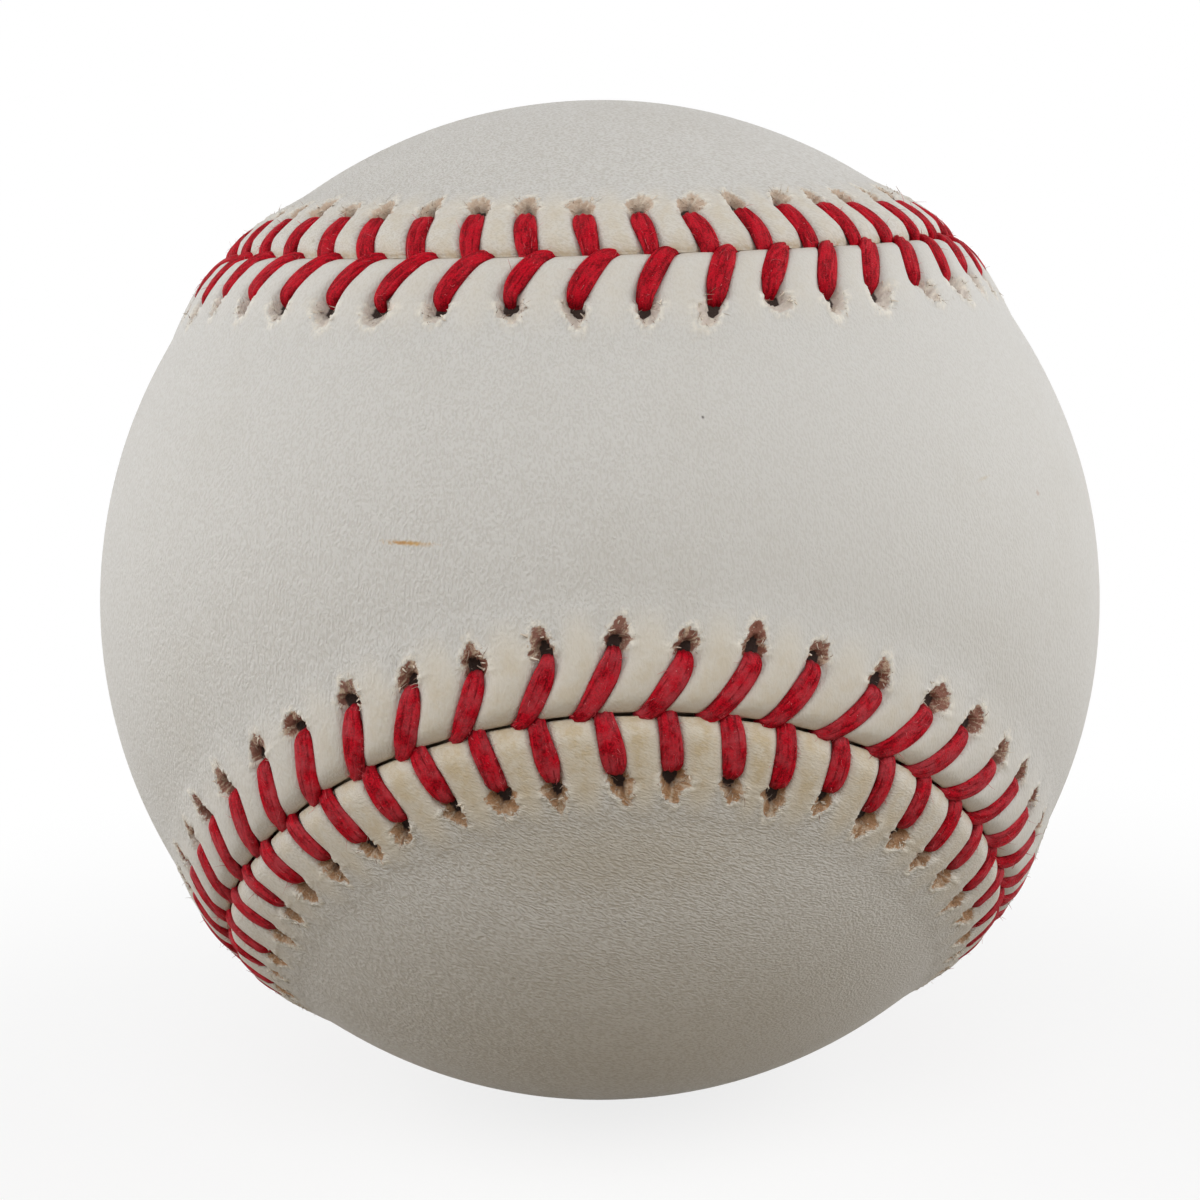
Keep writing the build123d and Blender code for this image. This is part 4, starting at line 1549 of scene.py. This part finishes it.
@dataclass(frozen=True)
class LeatherFinish(Finish):
    """Alum-tanned cover leather with grain, handling dirt, torn holes and stains.

    The ramps give the low and high end of what they read, and the share at each end. Places are in metres.
    """

    effects: Effects
    name: str
    clean: Colour = (0.582, 0.566, 0.537)
    shaded: Colour = (0.525, 0.500, 0.452)
    # This colour darkens the specks, and also the grain's creases and the stitch grooves, where it is partly
    # painted shade.
    dirt_and_shade: Colour = (0.30, 0.25, 0.19)
    cream: Colour = (0.632, 0.575, 0.478)
    tan: Colour = (0.52, 0.42, 0.275)
    raw: Colour = (0.25, 0.095, 0.062)
    raw_grey: Colour = (0.26, 0.128, 0.095)
    raw_pale: Colour = (0.60, 0.465, 0.34)
    # Painted shade deep inside the tears.
    raw_painted_shade: Colour = (0.125, 0.055, 0.032)
    halo: Colour = (0.50, 0.40, 0.27)
    rim: Colour = (0.78, 0.74, 0.66)
    # Painted shade at the bottom of each awl hole.
    depth: Colour = (0.046, 0.028, 0.022)
    # Painted shade on the walls of the seam gap.
    gap: Colour = (0.075, 0.018, 0.014)
    grain_scale: float = 7600.0
    grain_warp: float = 0.08
    grain_along: Colour = (0.0, 0.0, 1.0)
    grain_stretch: float = 2.4
    grain_depth: float = 0.062
    fuzz_depth: float = 0.36
    paling: float = 0.72
    creaming: float = 0.55
    crease_dirt_and_shade: float = 0.16
    tanning: float = 0.4
    calm: float = 0.9
    ease: float = 0.55
    edging: float = 0.45
    soil_scale: float = 95.0
    soil_cover: float = 0.55
    soil_strength: float = 0.45
    speck_strength: float = 0.55
    rough_size: float = 0.35
    shred_size: float = 0.16
    smear_size: float = 1.1
    groove_dirt_and_shade_ramp: Ramp = (0.3, 0.7, 0.06, 0.36)
    halo_ramp: Ramp = (0.40, 0.62, 0.05, 0.42)
    rim_ramp: Ramp = (0.36, 0.60, 0.2, 0.9)
    height_ramp: Ramp = (0.004, 0.018, 1.0, 0.4)
    aside_ramp: Ramp = (0.008, 0.026, 1.0, 0.25)
    gloss_ramp: Ramp = (0.3, 0.7, 0.60, 0.48)
    specular: float = 0.32
    stains: tuple[Stain, ...] = STAINS

    def pillow_tints(self, graph: Graph, place: Feed, level: Sockets, colour: Feed) -> Socket:
        """Return the colour with cream and tan on the pillows, strongest low on the ball and near its middle.

        Args:
            graph: The material's graph.
            place: Place on the ball.
            level: Its parts.
            colour: Colour of the clean leather.

        Returns:
            The new colour.
        """
        pillow = graph.value_of("pillow")
        low = graph.ramp(level["Z"], *self.height_ramp)
        low = graph.times(low, graph.ramp(graph.size(level["X"]), *self.aside_ramp))
        creamy = graph.ramp(pillow, 0.05, 0.55, 0.0, self.creaming)
        colour = graph.blend(graph.times(creamy, low), colour, self.cream)
        smears = graph.cloud(place, self.smear_size, 4.0, 0.7)
        patchy = graph.ramp(smears, 0.38, 0.64, 0.2 * self.tanning, self.tanning)
        return graph.blend(graph.times(graph.ramp(pillow, 0.35, 0.9), patchy, low), colour, self.tan)

    def torn(self, graph: Graph, shred: Feed, level: Sockets, colour: Feed) -> Socket:
        """Return the colour with raw leather where it is torn, darkened deep inside each tear as painted
        shade.

        Args:
            graph: The material's graph.
            shred: Fine noise that frays the tears.
            level: Parts of the place on the ball.
            colour: Colour of the whole leather.

        Returns:
            The new colour.
        """
        tear = graph.value_of("tear")
        ragged = graph.minus(graph.plus(tear, graph.times(shred, 0.5)), 0.25)
        flesh = graph.blend(graph.value_of("tone"), self.raw, self.raw_grey)
        lighter = graph.plus(graph.times(graph.value_of("streak"), 0.6), graph.times(shred, 0.5))
        flesh = graph.blend(graph.ramp(lighter, 0.52, 0.72), flesh, self.raw_pale)
        # Painted shade: the raw leather darkens deeper inside each tear.
        flesh = graph.blend(graph.ramp(ragged, 0.65, 1.25), flesh, self.raw_painted_shade)
        flesh = graph.blend(graph.ramp(level["Z"], 0.012, 0.024, 0.0, self.paling), flesh, self.rim)
        inside = graph.times(graph.ramp(tear, 0.0, 0.05), graph.ramp(ragged, 0.06, 0.18))
        return graph.blend(inside, colour, flesh)

    def stained(self, graph: Graph, place: Feed, colour: Feed) -> Socket:
        """Return the colour with each of the leather's marks over it."""
        for stain in self.stains:
            spot = graph.group(
                self.effects.stain,
                place=place,
                centre=tuple(part * SeamLine.ball_radius * MM for part in stain.centre),
                along=tuple(unit(np.array(stain.along)).tolist()),
                length=stain.length * MM,
                breadth=stain.breadth * MM,
            )
            colour = graph.blend(graph.times(spot["Mask"], stain.strength), colour, stain.colour)
        return colour

    def make(self) -> Material:
        """Return the leather's material."""
        graph, shader, material = self.open()
        place = graph.place()
        level = graph.split(place)
        grain = graph.group(
            self.effects.grain,
            place=place,
            scale=self.grain_scale,
            warp=self.grain_warp,
            along=tuple(unit(np.array(self.grain_along)).tolist()),
            stretch=self.grain_stretch,
        )
        soil = graph.group(self.effects.soil, place=place, scale=self.soil_scale, cover=self.soil_cover)
        rough = graph.cloud(place, self.rough_size, 4.0, 0.65)
        shred = graph.cloud(place, self.shred_size, 4.0, 0.7)
        blotch = graph.times(soil["Patches"], self.soil_strength)
        easing = graph.ramp(level["X"], -0.012, 0.016, 1.0, self.ease)
        colour = graph.blend(blotch, self.clean, self.shaded)
        # Painted shade and dirt in the grain's creases, with less of it towards +X.
        colour = graph.blend(graph.times(grain["Crease"], self.crease_dirt_and_shade, easing), colour, self.dirt_and_shade)
        colour = graph.blend(graph.times(soil["Specks"], self.speck_strength), colour, self.dirt_and_shade)
        colour = self.pillow_tints(graph, place, level, colour)
        # The groove value paints shade and dirt in the stitch grooves and along the legs' edges; the edge,
        # halo and rim tints are the leather's own.
        for name, spread, tint in (
            ("edge", (0.36, 0.62, 0.15, self.edging), self.halo),
            ("groove", self.groove_dirt_and_shade_ramp, self.dirt_and_shade),
            ("halo", self.halo_ramp, self.halo),
            ("rim", self.rim_ramp, self.rim),
        ):
            cover = graph.times(graph.value_of(name), graph.ramp(rough, *spread))
            colour = graph.blend(cover, colour, tint)
        colour = self.stained(graph, place, self.torn(graph, shred, level, colour))
        # Painted shade: the bottom of each awl hole takes the dark depth colour.
        colour = graph.blend(graph.ramp(graph.value_of("hole"), 0.70, 0.98), colour, self.depth)
        # Painted shade on the seam gap's walls, turning tan towards the top of the ball as painted light
        # reaching into the gap.
        gap = graph.blend(graph.ramp(level["Z"], 0.010, 0.018, 0.0, 0.85), self.gap, self.tan)
        colour = graph.blend(graph.ramp(graph.value_of("gap"), 0.3, 0.9), colour, gap)
        gloss = graph.plus(graph.ramp(grain["Height"], *self.gloss_ramp), graph.times(blotch, 0.15))
        self.coat(graph, shader, colour, gloss)
        shader.inputs["Specular IOR Level"].default_value = self.specular
        fuzz = graph.times(shred, graph.times(graph.value_of("tear"), self.fuzz_depth / self.grain_depth))
        calm = graph.ramp(graph.value_of("pillow"), 0.1, 0.7, 1.0, 0.5)
        calm = graph.times(calm, graph.ramp(level["Z"], 0.0, 0.02, 1.0, self.calm), easing)
        self.bump(graph, shader, graph.plus(grain["Height"], fuzz), self.grain_depth, calm)
        return material


@dataclass(frozen=True)
class ThreadFinish(Finish):
    """Waxed red thread with fibre streaks, painted shade in the valleys between its strands, and white lint.
    """

    effects: Effects
    name: str = "red_thread"
    red: Colour = (0.54, 0.003, 0.016)
    # deep is the dark red of the fibre streaks, and also the painted shade in the valleys between strands.
    deep: Colour = (0.13, 0.0005, 0.003)
    worn: Colour = (0.46, 0.065, 0.080)
    lint: Colour = (0.72, 0.56, 0.54)
    fibre_width: float = 0.10
    felt_size: float = 0.11
    fleck_size: float = 0.15
    valley_shade_size: float = 0.45
    dust_scale: float = 900.0
    dust_cover: float = 0.75
    dust_ramp: Ramp = (-0.004, 0.012, 0.85, 0.16)
    felt_ramp: Ramp = (0.36, 0.62, -0.15, 0.6)
    valley_shade_ramp: Ramp = (0.38, 0.62, 0.15, 0.9)
    fleck_ramp: Ramp = (0.67, 0.79, 0.0, 0.65)
    relief: float = 0.05
    specular: float = 0.08

    def make(self) -> Material:
        """Return the thread's material."""
        graph, shader, material = self.open()
        place = graph.place()
        streaks = self.effects.streaks_on(graph, self.fibre_width)
        felt = graph.cloud(place, self.felt_size, 3.0, 0.7)
        shade = graph.plus(graph.times(streaks["Shade"], 0.75), graph.ramp(felt, *self.felt_ramp))
        colour = graph.blend(shade, self.deep, self.red)
        soil = graph.group(self.effects.soil, place=place, scale=self.dust_scale, cover=self.dust_cover)
        dust = graph.times(soil["Patches"], graph.ramp(graph.split(place)["Z"], *self.dust_ramp))
        colour = graph.blend(dust, colour, self.worn)
        # Painted shade: in patches, the valleys between the strands darken to the deep colour.
        valley_shade_patches = graph.ramp(graph.cloud(place, self.valley_shade_size, 2.0), *self.valley_shade_ramp)
        groove = graph.times(graph.ramp(graph.value_of("ridge"), -1.0, -0.3, 1.0, 0.0), valley_shade_patches)
        colour = graph.blend(groove, colour, self.deep)
        flecks = graph.ramp(graph.cloud(place, self.fleck_size, 3.0, 0.7), *self.fleck_ramp)
        colour = graph.blend(flecks, colour, self.lint)
        self.coat(graph, shader, colour, graph.ramp(streaks["Shade"], 0.0, 1.0, 0.68, 0.5))
        shader.inputs["Specular IOR Level"].default_value = self.specular
        self.bump(graph, shader, graph.plus(streaks["Height"], felt), self.relief)
        return material


@dataclass(frozen=True)
class FibreFinish(Finish):
    """Loose fibres, each with its own tone between two colours."""

    name: str
    first: Colour
    second: Colour
    roughness: float = 0.7
    roughness_spread: float = 0.1

    def make(self) -> Material:
        """Return the fibres' material."""
        graph, shader, material = self.open()
        mottle = graph.cloud(graph.place(), 0.3, 2.0)
        share = graph.plus(graph.value_of("tone"), graph.times(mottle, 0.4))
        colour = graph.blend(graph.ramp(share, 0.2, 1.2), self.first, self.second)
        smooth_end, rough_end = self.roughness - self.roughness_spread, self.roughness + self.roughness_spread
        self.coat(graph, shader, colour, graph.ramp(mottle, 0.2, 0.8, smooth_end, rough_end))
        return material


@dataclass(frozen=True)
class YarnFinish(Finish):
    """Wound yarn with fibre streaks and flecks."""

    effects: Effects
    name: str
    light: Colour
    dark: Colour
    fibre_width: float = 0.25
    fleck_size: float = 1.2
    relief: float = 0.12

    def make(self) -> Material:
        """Return the yarn's material."""
        graph, shader, material = self.open()
        streaks = self.effects.streaks_on(graph, self.fibre_width)
        fleck = graph.cloud(graph.place(), self.fleck_size, 5.0, 0.7)
        colour = graph.blend(graph.ramp(fleck, 0.35, 0.65), self.dark, self.light)
        colour = graph.blend(graph.times(streaks["Shade"], 0.5), colour, self.light)
        self.coat(graph, shader, colour, graph.ramp(fleck, 0.2, 0.8, 0.95, 0.8))
        self.bump(graph, shader, streaks["Height"], self.relief)
        return material


@dataclass(frozen=True)
class RubberFinish(Finish):
    """Moulded rubber with a fine bloom."""

    effects: Effects
    name: str
    colour: Colour
    bloom: Colour
    bloom_scale: float = 160.0
    pit_size: float = 0.4
    relief: float = 0.03

    def make(self) -> Material:
        """Return the rubber's material."""
        graph, shader, material = self.open()
        place = graph.place()
        dust = graph.group(self.effects.soil, place=place, scale=self.bloom_scale, cover=0.5)["Patches"]
        colour = graph.blend(graph.times(dust, 0.5), self.colour, self.bloom)
        self.coat(graph, shader, colour, graph.ramp(dust, 0.0, 1.0, 0.5, 0.75))
        self.bump(graph, shader, graph.cloud(place, self.pit_size, 4.0, 0.6), self.relief)
        return material


@dataclass(frozen=True)
class CorkFinish(Finish):
    """Pressed cork and rubber granules."""

    effects: Effects
    name: str = "cork"
    light: Colour = (0.46, 0.27, 0.13)
    dark: Colour = (0.10, 0.05, 0.025)
    granule_scale: float = 700.0
    grain_scale: float = 900.0
    grain_warp: float = 0.6
    relief: float = 0.12

    def make(self) -> Material:
        """Return the cork's material."""
        graph, shader, material = self.open()
        place = graph.place()
        _, own = graph.cells(place, self.granule_scale)
        grain = graph.group(self.effects.grain, place=place, scale=self.grain_scale, warp=self.grain_warp)
        colour = graph.blend(graph.ramp(own[0], 0.1, 0.9), self.dark, self.light)
        colour = graph.blend(graph.times(grain["Crease"], 0.7), colour, self.dark)
        self.coat(graph, shader, colour, graph.ramp(own[1], 0.0, 1.0, 0.7, 0.9))
        self.bump(graph, shader, grain["Height"], self.relief)
        return material


@dataclass
class Studio:
    """Pale floor, soft white surroundings and the camera. Its own sizes are metres."""

    ball_radius: float = SeamLine.ball_radius
    camera_place: Colour = (-0.1409, -4.248, 0.5752)
    camera_view: Colour = (0.03285, 0.9904, -0.1341)
    camera_right: Colour = (0.9989, -0.0370, -0.0284)
    lens: float = 62.56
    sensor: float = 36.0
    nearest_shown: float = 0.005
    white: Colour = (1.0, 1.0, 1.0)
    floor_radius: float = 2.5
    floor_corners: int = 96
    floor_colour: Colour = (0.93, 0.93, 0.925)
    floor_bounce: Colour = (0.245, 0.185, 0.098)
    floor_sides: Colour = (0.96, 0.97, 0.96)
    floor_glow: float = 0.80
    glow_reach: tuple[float, float] = (0.045, 0.12)
    bounce_reach: tuple[float, float] = (0.04, 0.16)
    dome: float = 0.05
    side_light: float = 2.62
    side_reach: tuple[float, float] = (0.45, 0.85)
    horizon: tuple[float, float] = (-0.04, 0.06)
    key_power: float = 4.05
    key_place: tuple[float, float, float] = (-0.01, -0.75, 0.66)
    key_size: float = 0.81

    def show(self, name: str, data: bpy.types.ID) -> Piece:
        """Return a new object of the scene."""
        made = bpy.data.objects.new(name, data)
        bpy.context.scene.collection.objects.link(made)
        return made

    def backdrop_rays(self, graph: Graph) -> Socket:
        """Return 1 for the rays that show the background: camera, glossy and transmission rays."""
        rays = graph.node("LightPath").outputs
        both = graph.plus(rays["Is Camera Ray"], rays["Is Glossy Ray"])
        return graph.maths("ADD", both, rays["Is Transmission Ray"], clamp=True)

    def floor_finish(self) -> Material:
        """Return the floor's material: white to the camera save for the shadow, and a soft bounce."""
        material = bpy.data.materials.new("studio_floor")
        material.use_nodes = True
        tree = material.node_tree
        tree.nodes.remove(tree.nodes["Principled BSDF"])
        graph = Graph(tree)
        place = graph.place()
        shown = graph.node("BsdfDiffuse", {"Color": self.floor_colour}).outputs[0]
        white = graph.node("Emission", {"Color": self.white}).outputs[0]
        glow = graph.ramp(graph.length(place), *self.glow_reach, self.floor_glow, 1.0)
        aside = graph.ramp(graph.size(graph.split(place)["X"]), *self.bounce_reach)
        tint = graph.blend(aside, self.floor_bounce, self.floor_sides)
        bounce = graph.node("BsdfDiffuse", {"Color": tint}).outputs[0]
        floor = graph.either(self.backdrop_rays(graph), bounce, graph.either(glow, shown, white))
        graph.feed(tree.nodes["Material Output"].inputs["Surface"], floor)
        return material

    def floor(self) -> None:
        """Lay the floor under the ball."""
        disc = bmesh.new()
        bmesh.ops.create_circle(disc, cap_ends=True, segments=self.floor_corners, radius=self.floor_radius)
        mesh = bpy.data.meshes.new("studio_floor")
        disc.to_mesh(mesh)
        disc.free()
        mesh.materials.append(self.floor_finish())
        floor = self.show("studio_floor", mesh)
        floor.location = (0, 0, CAD_BOX[0].z)

    def surroundings(self) -> None:
        """Light the ball from soft white surroundings."""
        world = bpy.data.worlds.new("studio")
        bpy.context.scene.world = world
        world.use_nodes = True
        tree = world.node_tree
        tree.nodes.remove(tree.nodes["Background"])
        graph = Graph(tree)
        way = graph.split(graph.node("TexCoord").outputs["Generated"])
        sky = graph.ramp(way["Z"], *self.horizon)
        sides = graph.ramp(graph.size(way["X"]), *self.side_reach, self.dome, self.side_light)
        light = {"Color": self.white, "Strength": graph.times(sky, sides)}
        soft = graph.node("Background", light).outputs[0]
        white = graph.node("Background", {"Color": self.white}).outputs[0]
        shown = graph.either(self.backdrop_rays(graph), soft, white)
        graph.feed(tree.nodes["World Output"].inputs["Surface"], shown)

    def key(self) -> None:
        """Hang one large soft light over the front."""
        lamp = bpy.data.lights.new("soft_key", "AREA")
        lamp.shape = "DISK"
        lamp.size = self.key_size
        lamp.energy = self.key_power
        light = self.show("soft_key", lamp)
        light.location = self.key_place
        light.rotation_mode = "QUATERNION"
        light.rotation_quaternion = (-Vector(self.key_place)).to_track_quat("-Z", "Y")

    def camera(self) -> None:
        """Stand the camera at the viewing angle."""
        back = -Vector(self.camera_view).normalized()
        right = Vector(self.camera_right)
        right = (right - back * right.dot(back)).normalized()
        up = back.cross(right)
        data = bpy.data.cameras.new("camera")
        data.sensor_width = self.sensor
        data.sensor_fit = "HORIZONTAL"
        data.lens = self.lens
        data.clip_start = self.nearest_shown
        camera = self.show("camera", data)
        turn = Matrix((right, up, back)).transposed().to_4x4()
        camera.matrix_world = Matrix.Translation(Vector(self.camera_place) * self.ball_radius * MM) @ turn
        bpy.context.scene.camera = camera

    def build(self) -> None:
        """Set the whole studio."""
        bpy.context.scene.view_settings.view_transform = "Standard"
        self.floor()
        self.surroundings()
        self.key()
        self.camera()


# Colour, bloom and frame nodes of each rubber.
RUBBERS: dict[str, tuple[Colour, Colour, tuple[str, ...]]] = {
    "black_rubber": (
        (0.018, 0.018, 0.019), (0.07, 0.07, 0.072), ("inner_rubber_upper", "inner_rubber_lower")
    ),
    "red_rubber": (
        (0.36, 0.035, 0.028),
        (0.48, 0.16, 0.13),
        ("outer_rubber_right", "outer_rubber_left", "inner_rubber_gasket"),
    ),
    "rubber_cement": ((0.52, 0.42, 0.27), (0.66, 0.58, 0.44), ("adhesive_coat",)),
}

# Light and dark colour of each yarn.
YARNS: dict[str, tuple[Colour, Colour]] = {
    "grey_wool": ((0.34, 0.33, 0.33), (0.10, 0.10, 0.11)),
    "white_wool": ((0.70, 0.67, 0.60), (0.46, 0.42, 0.35)),
    "finishing_yarn": ((0.74, 0.72, 0.68), (0.52, 0.50, 0.45)),
}


@dataclass
class Core:
    """The cork centre, the rubber round it, the wound yarn and the cement."""

    effects: Effects
    windings: list[YarnWinding] = field(
        default_factory=lambda: [
            YarnWinding("first_winding", "grey_wool", 16.71, 31.31, 2.6, 220, 1),
            YarnWinding("second_winding", "white_wool", 31.33, 33.08, 2.2, 260, 2),
            YarnWinding("third_winding", "grey_wool", 33.10, 35.35, 2.4, 260, 3),
            YarnWinding("finishing_winding", "finishing_yarn", 35.37, 35.87, 1.5, 420, 4),
        ]
    )

    def dress(self, finish: Material, *nodes: str) -> None:
        """Give frame nodes a finish."""
        for name in nodes:
            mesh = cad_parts[name].data
            mesh.materials.clear()
            mesh.materials.append(finish)
            log.info("%s: dressed in %s", name, finish.name)

    def build(self) -> None:
        """Dress the rubber and cork, and build the windings."""
        self.dress(CorkFinish(self.effects).make(), "cork_core")
        for name, (colour, bloom, nodes) in RUBBERS.items():
            self.dress(RubberFinish(self.effects, name, colour, bloom).make(), *nodes)
        yarns = {name: YarnFinish(self.effects, name, *tones).make() for name, tones in YARNS.items()}
        for winding in self.windings:
            winding.build(yarns[winding.slot])


@dataclass
class Cover:
    """The two leather panels, the seam thread and the loose fibres."""

    effects: Effects
    stitching: Stitching

    def build(self) -> None:
        """Build the cover's pieces."""
        leather = {
            Row.FRONT: LeatherFinish(self.effects, "front_leather").make(),
            Row.REAR: LeatherFinish(
                self.effects,
                "rear_leather",
                clean=(0.600, 0.583, 0.553),
                raw=(0.43, 0.235, 0.115),
                raw_grey=(0.38, 0.22, 0.12),
                grain_scale=8700.0,
                grain_warp=0.05,
                grain_along=(0.85, 0.20, -0.38),
                grain_stretch=2.7,
                grain_depth=0.076,
                paling=0.35,
                creaming=0.85,
                crease_dirt_and_shade=0.34,
                tanning=0.95,
                calm=0.9,
                ease=0.75,
                edging=0.85,
            ).make(),
        }
        thread = ThreadFinish(self.effects).make()
        hairs = FibreFinish("thread_hairs", (0.36, 0.004, 0.014), (0.62, 0.11, 0.12)).make()
        fray = FibreFinish("leather_fray", (0.22, 0.125, 0.075), (0.74, 0.66, 0.55), 0.8).make()
        fibres = LooseFibres(self.stitching)
        legs = []
        for row in Row:
            panel = CoverPanel(self.stitching, row)
            panel.build(leather[row])
            fibres.hole_fray(fray, panel)
            legs.append(StitchLegs(self.stitching, row))
            legs[-1].build(thread)
        HiddenRuns(self.stitching).build(thread)
        fibres.thread_hairs(hairs, legs)


def main() -> None:
    """Build the ball and the studio, with a log line for each piece."""
    logging.basicConfig(level=logging.INFO, format="%(message)s")
    effects = Effects()
    stitching = Stitching(SeamLine())
    Core(effects).build()
    Cover(effects, stitching).build()
    Studio().build()


if __name__ == "__main__":
    main()
